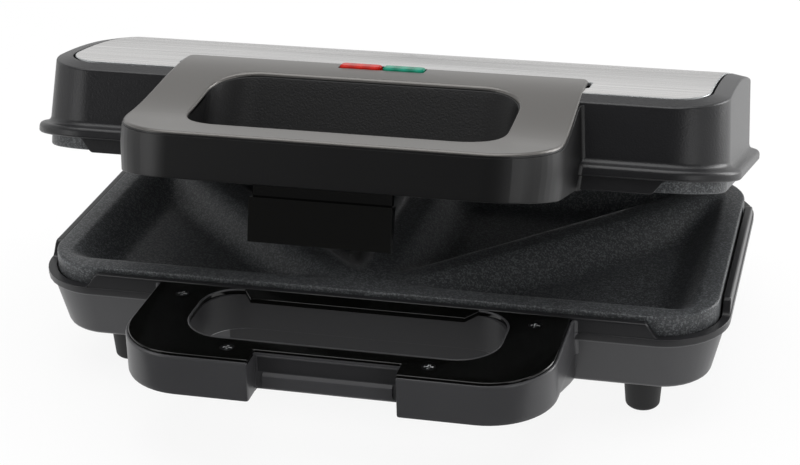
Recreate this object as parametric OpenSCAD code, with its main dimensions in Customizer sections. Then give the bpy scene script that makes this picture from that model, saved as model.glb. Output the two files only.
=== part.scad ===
// Countertop sandwich toaster: a base and a hinged lid, each with a cast plate, a heater and a handle.
// Sizes are in millimetres. Everything is first drawn closed, with y = 0 at the front rim of the plates,
// y running back, and z = 0 at the rim of the lower plate. stand() and raise() then place it.

/* [Plates] */
// Width of each cooking plate
plate_w = 290; // [270:1:310]
// Depth of each cooking plate, front to back
plate_d = 149; // [140:1:165]
// Radius of the plates' corners
plate_corner_r = 24; // [18:1:30]
// Thickness of the cast plates
plate_wall = 3; // [2.5:0.5:4]
// Height of the skirt round each plate
plate_skirt_h = 9; // [7:0.5:10]
// Depth of the triangular sandwich pockets
pocket_depth = 12; // [9:0.5:13]
// Width of the flat rim outside the pockets
plate_rim_w = 8.5; // [7:0.5:12]
// Width of the ridges between pockets
ridge_w = 5; // [4:0.5:8]
// Gap between the two plates when the toaster is shut
plate_gap = 1.2; // [0.8:0.1:2]

/* [Base] */
// Height of the lower plate's rim above the table
rim_h = 52; // [48:1:60]
// Wall of both housings
shell_wall = 2.5; // [2:0.1:3]
// How far the base flange stands out past the plate
flange_out = 4.5; // [4:0.5:6]
// Thickness of the base flange
flange_t = 3.5; // [3:0.5:5]
// Depth of the base below the plate's rim
base_depth = 34; // [32:1:38]
// How far the base's bottom is drawn in from the plate's edge
base_draw_in = 3; // [1:0.5:5]
// Height of the raised wall between the corners, above the ledge
raised_wall_h = 6.4; // [5:0.2:7]
// Ledge round the plate, below its rim
ledge_drop = 8; // [7:0.5:9]

/* [Feet] */
// Top diameter of a foot
foot_top_d = 17; // [14:0.5:20]
// Bottom diameter of a foot
foot_bottom_d = 14.4; // [12:0.2:16]
// Distance of the feet from the sides of the plate
foot_side = 30.5; // [29:0.5:40]
// Distance of the front feet behind the front of the plate
foot_y = 21; // [18:0.5:26]
// Distance of the rear feet from the rear of the plate: small, so that the open lid doesn't tip the base
rear_foot_y = 10; // [8.5:0.5:14]

/* [Handles] */
// Half the width of both handles
handle_half_w = 89; // [80:1:100]
// How far the handles reach in front of the plates
handle_reach = 66.6; // [58:0.2:75]
// Radius of the handles' front corners
handle_corner_r = 28; // [20:1:32]
// Thickness of the lower handle
handle_t = 18.3; // [16:0.1:20]
// Half the width of the finger opening
hole_half_w = 64.5; // [55:0.5:68]
// Width of the bar in front of the finger opening
handle_bar_w = 18; // [16:0.5:21]
// Radius of the finger opening's corners
hole_corner_r = 17; // [10:0.5:18]
// Thickness of the gloss cover plates
cover_t = 2; // [1.6:0.2:3]
// Head diameter of the cover screws
cover_screw_head_d = 6; // [5:0.2:7]

/* [Lid] */
// Height of the lid's front wall above the plate rim
lid_wall_h = 34.75; // [32:0.25:38]
// Height of the crown of the lid's steel cover
crown_h = 46.1; // [44:0.1:50]
// Radius of the crown, front to back
crown_r = 377; // [330:1:450]
// Place of the top of the crown behind the front rim
crown_y = 86; // [80:1:92]
// How far the lip round the lid stands out past the plate
lip_out = 5.5; // [4.5:0.5:7]
// Thickness of the steel cover
steel_t = 1; // [0.6:0.1:1.4]
// How far the steel cover's edge is set in from the plate's edge
steel_inset = 8.8; // [7:0.2:12]
// Thickness of the satin deck on the upper handle
deck_t = 2.5; // [2:0.1:3]
// Length of each indicator lens
lens_len = 17.5; // [12:0.5:20]

/* [Hinge] */
// Hinge axis behind the plates' rear rim
hinge_back = 16.9; // [15:0.1:30]
// Hinge axis above the lower plate's rim
hinge_z = 5.95; // [4:0.05:8]
// Angle of the lid from shut, as the toaster stands
lid_open = 17.6; // [0:0.1:60]
// Diameter of the steel hinge pins
hinge_pin_d = 6; // [5:0.5:7]
// Radius of the hinge barrels and cheeks
hinge_r = 9; // [8:0.5:9.5]
// Thickness of a hinge cheek
cheek_t = 8; // [6:0.5:10]
// Width of the lid's hinge barrel
barrel_w = 23.2; // [20:0.2:26]
// Middle of each hinge from the side of the plate
hinge_side = 41; // [35:1:50]

/* [Latch] */
// Width of the latch flap
latch_w = 56.6; // [50:0.2:57]
// Height of the latch flap's face
latch_face_h = 17.3; // [16:0.1:18.5]
// Latch pin diameter
latch_pin_d = 3; // [2.5:0.5:3.5]
// Lean of the flap, as the toaster stands
latch_lean = 2; // [0:0.5:3]

/* [Heating] */
// Diameter of the tubular heaters
heater_d = 6.5; // [6:0.5:8]
// Bore of the cord gland
cord_bore_d = 7.2; // [6:0.2:8]

/* [Hidden] */
$fn = 64;
// Sides given to circles inside a hull
hull_fn = 32;
// Overlap that lets cuts run clean through
cut = 1;
// Overlap that joins added solids
grow = 0.01;
// Clearances: a pin turning in its bore, a part in its seat, two surfaces that pass each other
run_gap = 0.05;
seat_gap = 0.15;
bracket_gap = 0.05;
pass_gap = 0.4;
plate_mid_y = plate_d / 2;
hinge_x = plate_w / 2 - hinge_side;
hinge_y = plate_d + hinge_back;
base_bottom = -base_depth;
floor_top = base_bottom + shell_wall;
ledge_z = -ledge_drop;
flange_bottom = ledge_z - flange_t;
handle_front = -handle_reach;
hole_front = handle_front + handle_bar_w;
// Opening between the housings and the plates' edges
plate_clear = 0.8;
raised_wall_top = ledge_z + raised_wall_h;
raised_out = flange_out - 0.5;
// Lower handle: cover level, bottom, and the rim of the housing round the cover
cover_top = -1.5;
handle_bottom = cover_top - handle_t;
cover_stand = 1;
cover_inset = 1.2;
cover_rear = -raised_out - 0.4;
cover_hole_rear = cover_rear - 1.4;
lower_strip_front = -13.4;
lower_strip_half_w = 50;
lower_strip_taper = 5;
gusset_t = 4;
// Latch recess in the lower handle, and the bar that the latch's hook passes under
recess_half_w = latch_w / 2 + 1.7;
recess_back = handle_front + 9.6;
catch_front = recess_back - 1.5;
catch_half_w = latch_w / 2 - 1.7;
catch_top = -10.5;
catch_bottom = -17.4;
catch_undercut = recess_back + 1.8;
// Cover screws, as places on the handle
screw_front = [recess_half_w + 11, handle_front + 10.1];
screw_rear = [(hole_half_w + handle_half_w) / 2 - 1.85, -13.8];
cover_screw_d = 3;
// Feet
foot_h = rim_h - base_depth;
foot_x = plate_w / 2 - foot_side;
foot_stud_d = 5;
// Plate screws and their posts
plate_screw_d = 4;
plate_head_d = 8;
plate_head_h = 2.4;
base_post = [plate_w / 2 - 14, 15];
lid_post = [plate_w / 2 - 18, 19];
boss_d = 9;
post_d = 14;
// Heater, below the pockets of its plate
pocket_under = pocket_depth + plate_wall;
heater_drop = pocket_under + seat_gap + heater_d / 2;
heater_half_w = plate_w / 2 - 45;
heater_front_y = 46;
heater_rear_y = plate_d - 46;
heater_bend_r = 20;
heater_tail_x = 12;
heater_tail_r = 8;
heater_tail_y = plate_d - 23;
clamp_t = 1.2;
clamp_stub_d = 3;
clamp_spots = [[50, heater_front_y, 1], [60, heater_rear_y, 1]];
clamp_boss_off = 9;
reflector_t = 0.8;
reflector_drop = heater_drop + heater_d / 2 + seat_gap + clamp_t + 0.6;
boss_bottom_drop = 14;
// Lid: heights when shut
lid_skirt_bottom = 0.6;
lid_skirt_top = 6.5;
lip_top = 10.8;
lid_base_out = 0.9;
lid_top_out = -1;
lid_roof_z = crown_h + 1;
lid_wall_crown = lid_wall_h + crown_r - sqrt(crown_r * crown_r - crown_y * crown_y);
skirt_out = raised_out - 0.5;
corner_start = plate_corner_r + 5;
corner_lean = 8;
// Upper handle: the deck climbs from its front edge to the lid's top in an S
deck_front_z = 17.8;
deck_slope = 0.13;
deck_rise = 13;
deck_rise_from = handle_front + 20.6;
deck_rise_to = 27;
deck_rear_y = 27;
deck_rear_half_w = handle_half_w - 3.5;
deck_half_w = handle_half_w - 1;
deck_overhang = 0.3;
deck_steps = 16;
lid_handle_bottom = -0.4;
// The opening's rear wall leans back: its place at two heights
upper_hole_rear = 7;
lean_low = [-3.5, 8];
lean_high = [7, 37.6];
lean_wall = 3.2;
notch_gap = 0.6;
// Latch pin, in the upper handle
latch_pin_y = handle_front + 7.6;
latch_pin_z = 3.8;
latch_barrel_r = 3.2;
latch_face_top = -5.2;
latch_plate_back = -2.74;
latch_plate_t = 2.4;
latch_hook_back = -0.67;
latch_hook_top = -21.7;
latch_neck_t = 2.6;
latch_rib_t = 1.2;
latch_lug_t = 3.5;
// Cord gland and terminal block
gland_x = -50;
gland_z = -24;
gland_waist_d = 11;
gland_collar_d = 16;
gland_out = 13;
rear_wall_y = plate_d + 0.5;
block_size = [30, 13, 6.5];
block_y = plate_d - 25;
wire_d = 1.8;
loom_d = 5;
loom_z = -20;
loom_x = -80;
// Hinge
cheek_in = hinge_x - barrel_w / 2 - pass_gap;
cheek_out = hinge_x + barrel_w / 2 + pass_gap;
pin_head_d = 9;
pin_head_t = 1.4;
hinge_bolt_in = 9.5;
loom_meet_x = -(hinge_x - 7);
loom_bore_d = 6;
// Indicators
lens_w = 6.4;
lens_y = 22.4;
lens_stand = 1;
lens_gap = 1;
lens_depth = 5;
lamp_d = 4.5;
lamp_len = 13;
// The toaster's middle, front to back, which stands on the origin
stand_mid_y = (hinge_y + hinge_r + handle_front) / 2;

function smooth_step(t) = let (u = min(1, max(0, t))) u * u * (3 - 2 * u);
function deck_z(y) = deck_front_z + deck_slope * (y - handle_front)
  + deck_rise * smooth_step((y - deck_rise_from) / (deck_rise_to - deck_rise_from));
function crown_z(y, top) = top - crown_r + sqrt(crown_r * crown_r - (y - crown_y) * (y - crown_y));

// Puts a shut-frame piece of the base where it stands
module stand() {
  translate([0, -stand_mid_y, rim_h])
    children();
}

// Puts a shut-frame piece of the lid where it stands, turned open about the hinge
module raise() {
  stand()
    translate([0, hinge_y, hinge_z])
      rotate([-lid_open, 0, 0])
        translate([0, -hinge_y, -hinge_z])
          children();
}

// Rectangle with round corners, about its middle
module round_rect(w, d, r) {
  square([w - 2 * r, d], center = true);
  square([w, d - 2 * r], center = true);
  for (x = [-1, 1], y = [-1, 1])
    translate([x * (w / 2 - r), y * (d / 2 - r)])
      circle(r);
}

// The plate's outline, grown by o
module plan(o) {
  translate([0, plate_mid_y])
    round_rect(plate_w + 2 * o, plate_d + 2 * o, plate_corner_r + o);
}

module plan_slab(o, z, h) {
  translate([0, 0, z])
    linear_extrude(h)
      plan(o);
}

// Body whose walls run from one outline to another
module drawn_wall(o1, z1, o2, z2) {
  hull() {
    plan_slab(o1, z1 - (z1 > z2 ? grow : 0), grow, $fn = hull_fn);
    plan_slab(o2, z2 - (z2 > z1 ? grow : 0), grow, $fn = hull_fn);
  }
}

// The handles' outline, running back under the housing to y = rear
module handle_plan(o, rear, half_w = handle_half_w) {
  intersection() {
    translate([0, handle_front - o + 100])
      round_rect(2 * (half_w + o), 200, handle_corner_r + o);
    translate([-half_w - o - 1, handle_front - o - 1])
      square([2 * (half_w + o + 1), rear - handle_front + o + 1]);
  }
}

// The finger opening's outline, grown by o
module hole_plan(o, rear) {
  d = rear - hole_front;
  translate([0, hole_front + d / 2])
    round_rect(2 * (hole_half_w + o), d + 2 * o, hole_corner_r + o);
}

// Extrudes an outline drawn in the y and z directions along x
module along_x(x1, x2) {
  translate([x1, 0, 0])
    rotate([90, 0, 90])
      linear_extrude(x2 - x1)
        children();
}

module x_rod(x1, x2, y, z, d) {
  translate([x1, y, z])
    rotate([0, 90, 0])
      cylinder(h = x2 - x1, d = d);
}

module rod(a, b, d) {
  v = b - a;
  h = norm(v);
  translate(a)
    rotate([0, acos(v[2] / h), atan2(v[1], v[0])])
      cylinder(h = h, d = d);
}

// A bent wire through a list of points, with a slightly larger ball at each bend
module wire(points, d) {
  for (i = [0 : len(points) - 2])
    rod(points[i], points[i + 1], d, $fn = 12);
  for (i = [1 : len(points) - 2])
    translate(points[i])
      sphere(d = d + 0.3, $fn = 12);
}

// Everything under the crown, whose top is at the given height
module under_crown(top) {
  along_x(-plate_w, plate_w)
    intersection() {
      translate([crown_y, top - crown_r])
        circle(crown_r, $fn = 720);
      translate([-100, -60])
        square([400, 160]);
    }
}

module mirror_x() {
  children();
  mirror([1, 0, 0])
    children();
}

// One of the eight triangular pockets of a plate: t1 has its right angle outside at the front
module pocket_outline(rear, o) {
  x1 = ridge_w;
  x2 = plate_w / 2 - plate_rim_w;
  y1 = plate_rim_w;
  y2 = plate_d - plate_rim_w;
  g = ridge_w * 1.2;
  offset(r = 5 + o)
    offset(delta = -5)
      polygon(rear ? [[x1, y1 + g], [x1, y2], [x2 - g, y2]] : [[x1 + g, y1], [x2, y1], [x2, y2 - g]]);
}

// A pocket, or the bowl round it: sides that slope down to a flat floor
module pocket(rear, o, h, top) {
  x2 = plate_w / 2 - plate_rim_w;
  y2 = plate_d - plate_rim_w;
  reach = 0.28 * (y2 - plate_rim_w);
  c = rear ? [ridge_w + reach, y2 - reach] : [x2 - reach, plate_rim_w + reach];
  translate([c[0], c[1], top])
    mirror([0, 0, 1])
      linear_extrude(height = h, scale = 0.52, $fn = 20)
        translate(-c)
          pocket_outline(rear, o);
}

// A cooking plate, face up with its rim at z = 0, with bosses at the given post place
module plate_shape(post) {
  difference() {
    union() {
      plan_slab(0, -plate_wall, plate_wall);
      difference() {
        plan_slab(0, -plate_skirt_h, plate_skirt_h);
        plan_slab(-plate_wall, -plate_skirt_h - cut, plate_skirt_h + cut);
      }
      mirror_x()
        for (rear = [false, true])
          pocket(rear, 2.4, pocket_depth + plate_wall - 0.5, -0.5);
      plate_posts(post)
        translate([0, 0, -boss_bottom_drop])
          cylinder(h = boss_bottom_drop - plate_wall + grow, d = boss_d);
      clamp_places()
        translate([0, clamp_boss_off, -heater_drop - heater_d / 2])
          cylinder(h = heater_drop + heater_d / 2 - plate_wall + grow, d = 7);
      clamp_places()
        translate([0, clamp_boss_off, -heater_drop - heater_d / 2 - clamp_t])
          cylinder(h = clamp_t + grow, d = clamp_stub_d);
    }
    mirror_x()
      for (rear = [false, true])
        pocket(rear, 0, pocket_depth, grow);
    plate_posts(post)
      translate([0, 0, -boss_bottom_drop - cut])
        cylinder(h = boss_bottom_drop - plate_wall - 2 + cut, d = plate_screw_d + 2 * run_gap);
  }
}

module plate_posts(post) {
  for (x = [-1, 1], y = [post[1], plate_d - post[1]])
    translate([x * post[0], y, 0])
      children();
}

module clamp_places() {
  for (x = [-1, 1], p = clamp_spots)
    translate([x * p[0], p[1], 0])
      children();
}

// Quarter bend of the heater about a centre, from the given angle
module heater_bend(c, r, a) {
  translate([c[0], c[1], 0])
    rotate([0, 0, a])
      rotate_extrude(angle = 90)
        translate([r, 0])
          circle(d = heater_d);
}

// Tubular heater in a loop, with its two tails at the rear
module heater_shape() {
  translate([0, 0, -heater_drop])
    mirror_x() {
      rod([0, heater_front_y, 0], [heater_half_w - heater_bend_r, heater_front_y, 0], heater_d);
      heater_bend([heater_half_w - heater_bend_r, heater_front_y + heater_bend_r], heater_bend_r, -90);
      rod([heater_half_w, heater_front_y + heater_bend_r, 0],
          [heater_half_w, heater_rear_y - heater_bend_r, 0], heater_d);
      heater_bend([heater_half_w - heater_bend_r, heater_rear_y - heater_bend_r], heater_bend_r, 0);
      rod([heater_tail_x + heater_tail_r, heater_rear_y, 0],
          [heater_half_w - heater_bend_r, heater_rear_y, 0], heater_d);
      heater_bend([heater_tail_x + heater_tail_r, heater_rear_y + heater_tail_r], heater_tail_r, 180);
      rod([heater_tail_x, heater_rear_y + heater_tail_r, 0], [heater_tail_x, heater_tail_y, 0], heater_d);
      rod([heater_tail_x, heater_tail_y, 0], [heater_tail_x, heater_tail_y + 6, 0], heater_d / 2);
    }
}

// Steel straps under the heater, staked to the plate's small bosses
module clamps_shape() {
  clamp_places()
    difference() {
      translate([-5, -5, -heater_drop - heater_d / 2 - clamp_t])
        cube([10, clamp_boss_off + 10, clamp_t]);
      translate([0, clamp_boss_off, -heater_drop - heater_d / 2 - clamp_t - cut])
        cylinder(h = clamp_t + 2 * cut, d = clamp_stub_d + 2 * run_gap);
    }
}

// Thin sheet that throws the heat back, with holes for the posts
module reflector_shape(post) {
  difference() {
    intersection() {
      plan_slab(-7.5, -reflector_drop - reflector_t, reflector_t);
      translate([-plate_w, 5, -100])
        cube([2 * plate_w, heater_tail_y - 8, 100]);
    }
    plate_posts(post)
      translate([0, 0, -reflector_drop - 2 * cut])
        cylinder(h = 4 * cut, d = boss_d + 2 * pass_gap);
  }
}

// Trapezoid that keeps a skirt's front and rear between the corners
module between_sides(z1, z2, lean) {
  in_x = plate_w / 2 - corner_start;
  rotate([90, 0, 0])
    translate([0, 0, -plate_d - 20])
      linear_extrude(plate_d + 40)
        polygon([[-in_x - lean, z1], [in_x + lean, z1], [in_x, z2], [-in_x, z2]]);
}

// The same on all four sides, which leaves only the corners of a skirt open
module between_corners(z1, z2, lean) {
  between_sides(z1, z2, lean);
  along_x(-plate_w, plate_w)
    polygon([[corner_start - lean, z1], [plate_d - corner_start + lean, z1],
             [plate_d - corner_start, z2], [corner_start, z2]]);
}

// The base's outside, grown by o, which its handle and brackets are cut to
module base_body(o) {
  drawn_wall(2.5 + o, flange_bottom - 0.5, -base_draw_in + o, base_bottom);
  plan_slab(raised_out + o, flange_bottom - 1, 1 + grow);
  plan_slab(flange_out + o, flange_bottom - o, flange_t + 2 * o);
}

// One hinge cheek, running forward into the housing's rear wall
module cheek(x1, x2) {
  along_x(x1, x2)
    union() {
      translate([hinge_y, hinge_z])
        circle(hinge_r);
      polygon([[rear_wall_y - 3, -12], [hinge_y - hinge_r + 0.5, -4], [hinge_y - hinge_r + 0.5, hinge_z],
               [hinge_y + hinge_r - 0.4, hinge_z], [hinge_y + hinge_r - 0.4, -14],
               [rear_wall_y + 9, base_bottom + 3], [rear_wall_y - 4, base_bottom + 3]]);
    }
}

// Hinge bracket on the base's rear wall: two cheeks and the plate that joins them
module hinge_bracket(side) {
  color("#2b2b2d")
    stand()
      mirror([side > 0 ? 0 : 1, 0, 0])
        difference() {
          union() {
            cheek(cheek_out, cheek_out + cheek_t);
            cheek(cheek_in - cheek_t, cheek_in);
            along_x(cheek_in - cheek_t, cheek_out + cheek_t)
              polygon([[rear_wall_y - 4, base_bottom + 4], [rear_wall_y + 2, base_bottom + 4],
                       [rear_wall_y + 4, -14], [rear_wall_y + 4, -6], [rear_wall_y - 4, -6]]);
          }
          base_body(bracket_gap);
          plan_slab(raised_out + bracket_gap, ledge_z - grow, rim_h);
          x_rod(cheek_in - cheek_t - cut, cheek_out + cheek_t + cut, hinge_y, hinge_z,
                hinge_pin_d + 2 * run_gap);
        }
}

module hinge_bracket_left() hinge_bracket(-1);
module hinge_bracket_right() hinge_bracket(1);

// Rebate and hollow of the lower handle, and its finger opening
module lower_handle_frame() {
  difference() {
    translate([0, 0, handle_bottom])
      linear_extrude(cover_top - cover_stand - handle_bottom)
        handle_plan(0, 0);
    translate([0, 0, cover_top - cover_t - seat_gap])
      linear_extrude(cover_t + cut)
        handle_plan(-cover_inset + seat_gap, cover_rear + seat_gap);
    difference() {
      translate([0, 0, handle_bottom + shell_wall])
        linear_extrude(handle_t)
          difference() {
            handle_plan(-shell_wall - 1, cover_rear - 1.6);
            hole_plan(shell_wall, cover_rear - shell_wall);
            translate([-recess_half_w - shell_wall, handle_front])
              square([2 * (recess_half_w + shell_wall), recess_back - handle_front + 3]);
          }
      screw_places()
        translate([0, 0, handle_bottom])
          cylinder(h = handle_t, d = 7.4);
    }
    translate([0, 0, handle_bottom - cut])
      linear_extrude(handle_t + 2 * cut)
        hole_plan(0, cover_hole_rear);
    screw_places()
      translate([0, 0, handle_bottom + shell_wall])
        cylinder(h = handle_t, d = cover_screw_d + 2 * run_gap);
    translate([-recess_half_w, handle_front - cut, handle_bottom - cut])
      cube([2 * recess_half_w, recess_back - handle_front + cut, handle_t + 2 * cut]);
    translate([-recess_half_w, recess_back - cut, handle_bottom - cut])
      cube([2 * recess_half_w, catch_undercut - recess_back + cut, catch_bottom - handle_bottom + cut]);
  }
  along_x(-catch_half_w, catch_half_w)
    polygon([[recess_back + grow, catch_top], [catch_front, catch_top - 1.5], [catch_front, catch_bottom],
             [recess_back + grow, catch_bottom]]);
}

// Web under the lower handle's outer corner, down to the foot of the housing
module handle_gusset() {
  along_x(handle_half_w - gusset_t, handle_half_w - 0.4)
    polygon([[-36, handle_bottom + 1], [-36, handle_bottom], [-8.7, handle_bottom - 9.7],
             [base_draw_in - 0.5, base_bottom + 1.2], [4, handle_bottom + 1]]);
}

module screw_places() {
  for (x = [-1, 1], p = [screw_front, screw_rear])
    translate([x * p[0], p[1], 0])
      children();
}

module base_housing() {
  color("#3f3f41")
    stand()
      difference() {
        union() {
          difference() {
            union() {
              base_body(0);
              intersection() {
                plan_slab(raised_out, ledge_z - grow, raised_wall_h + grow);
                between_corners(ledge_z - grow, raised_wall_top, corner_lean);
              }
            }
            drawn_wall(0, flange_bottom - 0.5, -base_draw_in - shell_wall, floor_top);
            plan_slab(plate_clear, flange_bottom - 0.6, base_depth);
          }
          plate_posts(base_post) {
            translate([0, 0, base_bottom + 0.5])
              cylinder(h = base_depth - 0.5 - reflector_drop - reflector_t - seat_gap, d = post_d);
            translate([0, 0, base_bottom + 0.5])
              cylinder(h = base_depth - 0.5 - boss_bottom_drop - seat_gap, d = boss_d);
          }
          foot_places()
            translate([0, 0, base_bottom + 0.5])
              cylinder(h = 8, d = 10);
        }
        plate_posts(base_post) {
          translate([0, 0, base_bottom - cut])
            cylinder(h = base_depth, d = plate_screw_d + 2 * run_gap);
          translate([0, 0, base_bottom - cut])
            cylinder(h = 3 + cut, d = plate_head_d + 2 * seat_gap);
        }
        foot_places()
          translate([0, 0, base_bottom - cut])
            cylinder(h = 8 + cut, d = foot_stud_d + 2 * run_gap);
        for (x = [-5 : 5])
          translate([x * 14 - 1.5, plate_mid_y - 20, base_bottom - cut])
            cube([3, 40, shell_wall + 2 * cut]);
        translate([gland_x, rear_wall_y - 12, gland_z])
          rotate([-90, 0, 0])
            cylinder(h = 24, d = gland_waist_d + 2 * seat_gap);
        translate([loom_x, rear_wall_y - 12, loom_z])
          rotate([-90, 0, 0])
            cylinder(h = 24, d = loom_bore_d);
      }
}

// The lower handle: its frame and webs, cut to the housing's front
module lower_handle() {
  color("#3f3f41")
    stand()
      difference() {
        union() {
          lower_handle_frame();
          mirror_x()
            handle_gusset();
        }
        base_body(bracket_gap);
        plan_slab(raised_out + bracket_gap, ledge_z - grow, raised_wall_h + cut);
      }
}

module foot_places() {
  for (x = [-foot_x, foot_x], y = [foot_y, plate_d - rear_foot_y])
    translate([x, y, 0])
      children();
}

// A foot: a tapered peg with a stud that goes up into the base
module foot(x, y) {
  color("#1d1d1f")
    stand()
      translate([x, y, base_bottom]) {
        translate([0, 0, -foot_h])
          cylinder(h = 1.2, d1 = foot_bottom_d - 2.4, d2 = foot_bottom_d);
        translate([0, 0, -foot_h + 1.2])
          cylinder(h = foot_h - 1.2, d1 = foot_bottom_d, d2 = foot_top_d);
        translate([0, 0, -grow])
          cylinder(h = 7, d = foot_stud_d);
      }
}

module foot_front_left() foot(-foot_x, foot_y);
module foot_front_right() foot(foot_x, foot_y);
module foot_rear_left() foot(-foot_x, plate_d - rear_foot_y);
module foot_rear_right() foot(foot_x, plate_d - rear_foot_y);

// Gloss cover of the lower handle, with the tongue behind its finger opening
module handle_cover() {
  color("#0c0c0d")
    stand()
      difference() {
        union() {
          translate([0, 0, cover_top - cover_t])
            linear_extrude(cover_t)
              difference() {
                handle_plan(-cover_inset, cover_rear);
                hole_plan(0, cover_hole_rear);
                translate([-recess_half_w, handle_front - cut])
                  square([2 * recess_half_w, recess_back + 0.7 - handle_front + cut]);
              }
          translate([0, 0, cover_top - cover_t])
            linear_extrude(cover_t)
              polygon([[-lower_strip_half_w, cover_hole_rear + 0.6], [lower_strip_half_w, cover_hole_rear + 0.6],
                       [lower_strip_half_w - lower_strip_taper, lower_strip_front],
                       [-lower_strip_half_w + lower_strip_taper, lower_strip_front]]);
        }
        screw_places()
          cover_screw_seat(cover_top, 1);
      }
}

// Hole and countersink for a cover screw; dir is 1 for a head that faces up, -1 for one that faces down
module cover_screw_seat(z, dir) {
  translate([0, 0, z])
    scale_z(dir) {
      translate([0, 0, -cover_t - cut])
        cylinder(h = cover_t + 2 * cut, d = cover_screw_d + 2 * seat_gap);
      translate([0, 0, -1.1])
        cylinder(h = 1.1 + grow, d1 = cover_screw_d + 2 * seat_gap, d2 = cover_screw_head_d + 2 * seat_gap);
    }
}

module scale_z(dir) {
  if (dir > 0)
    children();
  else
    mirror([0, 0, 1])
      children();
}

// A countersunk cross-head screw with its head at z = 0, facing up
module cover_screw(len) {
  difference() {
    union() {
      translate([0, 0, -1.1])
        cylinder(h = 1.1, d1 = cover_screw_d, d2 = cover_screw_head_d);
      translate([0, 0, -len])
        cylinder(h = len - 1, d = cover_screw_d);
    }
    for (a = [0, 90])
      rotate([0, 0, a])
        translate([-1.7, -0.4, -0.9])
          cube([3.4, 0.8, 1.2]);
  }
}

module handle_cover_screws() {
  color("#2a2a2c")
    stand()
      screw_places()
        translate([0, 0, cover_top - 0.1])
          cover_screw(13);
}

module lower_plate() {
  color("#46484b")
    stand()
      plate_shape(base_post);
}

module lower_heater() {
  color("#8c8c8a")
    stand()
      heater_shape();
}

module lower_heater_clamps() {
  color("#b0b2b4")
    stand()
      clamps_shape();
}

module lower_reflector() {
  color("#c4c6c8")
    stand()
      reflector_shape(base_post);
}

// Plate screws go in from under the base, with their heads in its floor
module lower_plate_screws() {
  color("#a8aaac")
    stand()
      plate_posts(base_post) {
        translate([0, 0, base_bottom + 3 - plate_head_h])
          cylinder(h = plate_head_h, d = plate_head_d);
        translate([0, 0, base_bottom + 2.9])
          cylinder(h = base_depth - 2.9 - plate_wall - 3, d = plate_screw_d);
      }
}

// Moulded gland that the mains cord would pass through
module cord_gland() {
  color("#161617")
    stand()
      translate([gland_x, rear_wall_y, gland_z])
        rotate([-90, 0, 0])
          difference() {
            union() {
              translate([0, 0, -9])
                cylinder(h = 9 + gland_out, d = gland_waist_d);
              translate([0, 0, 3.2])
                cylinder(h = 4, d = gland_collar_d);
              translate([0, 0, -9])
                cylinder(h = 3, d = gland_collar_d - 2);
            }
            translate([0, 0, -9 - cut])
              cylinder(h = 9 + gland_out + 2 * cut, d = cord_bore_d);
          }
}

// Ceramic block on the floor, with three brass-lined holes
module terminal_block() {
  color("#e6e1d6")
    stand()
      difference() {
        translate([gland_x - block_size[0] / 2, block_y - block_size[1] / 2, floor_top + 0.1])
          cube(block_size);
        for (i = [-1 : 1])
          translate([gland_x + i * 9, block_y - block_size[1], floor_top + block_size[2] / 2])
            rotate([-90, 0, 0])
              cylinder(h = 2 * block_size[1], d = 3.2);
      }
}

// Wires from the terminal block to the lower heater, and the loom that runs up to the hinge axis
module base_wiring() {
  block_z = floor_top + block_size[2] / 2;
  block_face = block_y + block_size[1] / 2;
  color("#8a2f2a")
    stand() {
      wire([[-heater_tail_x, heater_tail_y + 6.3, -heater_drop], [-heater_tail_x, block_face + 6, -heater_drop],
            [gland_x + 12, block_face + 8, block_z], [gland_x + 9, block_face + 5, block_z],
            [gland_x + 9, block_face - 5, block_z]], wire_d);
      wire([[heater_tail_x, heater_tail_y + 6.3, -heater_drop], [heater_tail_x, block_face + 9, -heater_drop],
            [gland_x + 2, block_face + 6.5, block_z], [gland_x, block_face + 4, block_z],
            [gland_x, block_face - 5, block_z]], wire_d);
      wire([[gland_x - 9, block_face - 5, block_z], [gland_x - 9, block_face + 4, block_z],
            [loom_x, rear_wall_y - 10, block_z + 1], [loom_x, rear_wall_y - 8, loom_z]], wire_d);
      wire([[loom_x, rear_wall_y - 9, loom_z], [loom_x, hinge_y, loom_z], [loom_x, hinge_y, hinge_z],
            [loom_meet_x, hinge_y, hinge_z]], loom_d);
    }
}

// Steel hinge pin from the outer cheek inwards: side is 1 on the right, -1 on the left
module hinge_pin(side, inner) {
  color("#b9bbbd")
    stand()
      mirror([side > 0 ? 0 : 1, 0, 0]) {
        x_rod(inner, cheek_out + cheek_t + pin_head_t / 2, hinge_y, hinge_z, hinge_pin_d);
        x_rod(cheek_out + cheek_t + seat_gap, cheek_out + cheek_t + seat_gap + pin_head_t, hinge_y, hinge_z,
              pin_head_d);
      }
}

module hinge_pin_left() hinge_pin(-1, cheek_out - hinge_bolt_in);
module hinge_pin_right() hinge_pin(1, cheek_in - cheek_t);

// The space below the deck's top surface, lowered by drop
module under_deck(drop) {
  y1 = handle_front - 1;
  y2 = deck_rear_y + 5;
  along_x(-handle_half_w - 5, handle_half_w + 5)
    polygon(concat(
      [for (i = [0 : deck_steps])
        let (y = y1 + (y2 - y1) * i / deck_steps) [y, deck_z(y) - drop]],
      [[y2, -30], [y1, -30]]));
}

function lean_y(z) = lean_low[0] + (z - lean_low[1]) * (lean_high[0] - lean_low[0]) / (lean_high[1] - lean_low[1]);

// The finger opening through the upper handle, grown by o
module upper_opening(o) {
  intersection() {
    translate([0, 0, -10])
      linear_extrude(80)
        hole_plan(o, upper_hole_rear + 30);
    along_x(-plate_w, plate_w)
      polygon([[-plate_d, -20], [lean_y(-20) + o, -20], [lean_y(70) + o, 70], [-plate_d, 70]]);
  }
}

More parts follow.
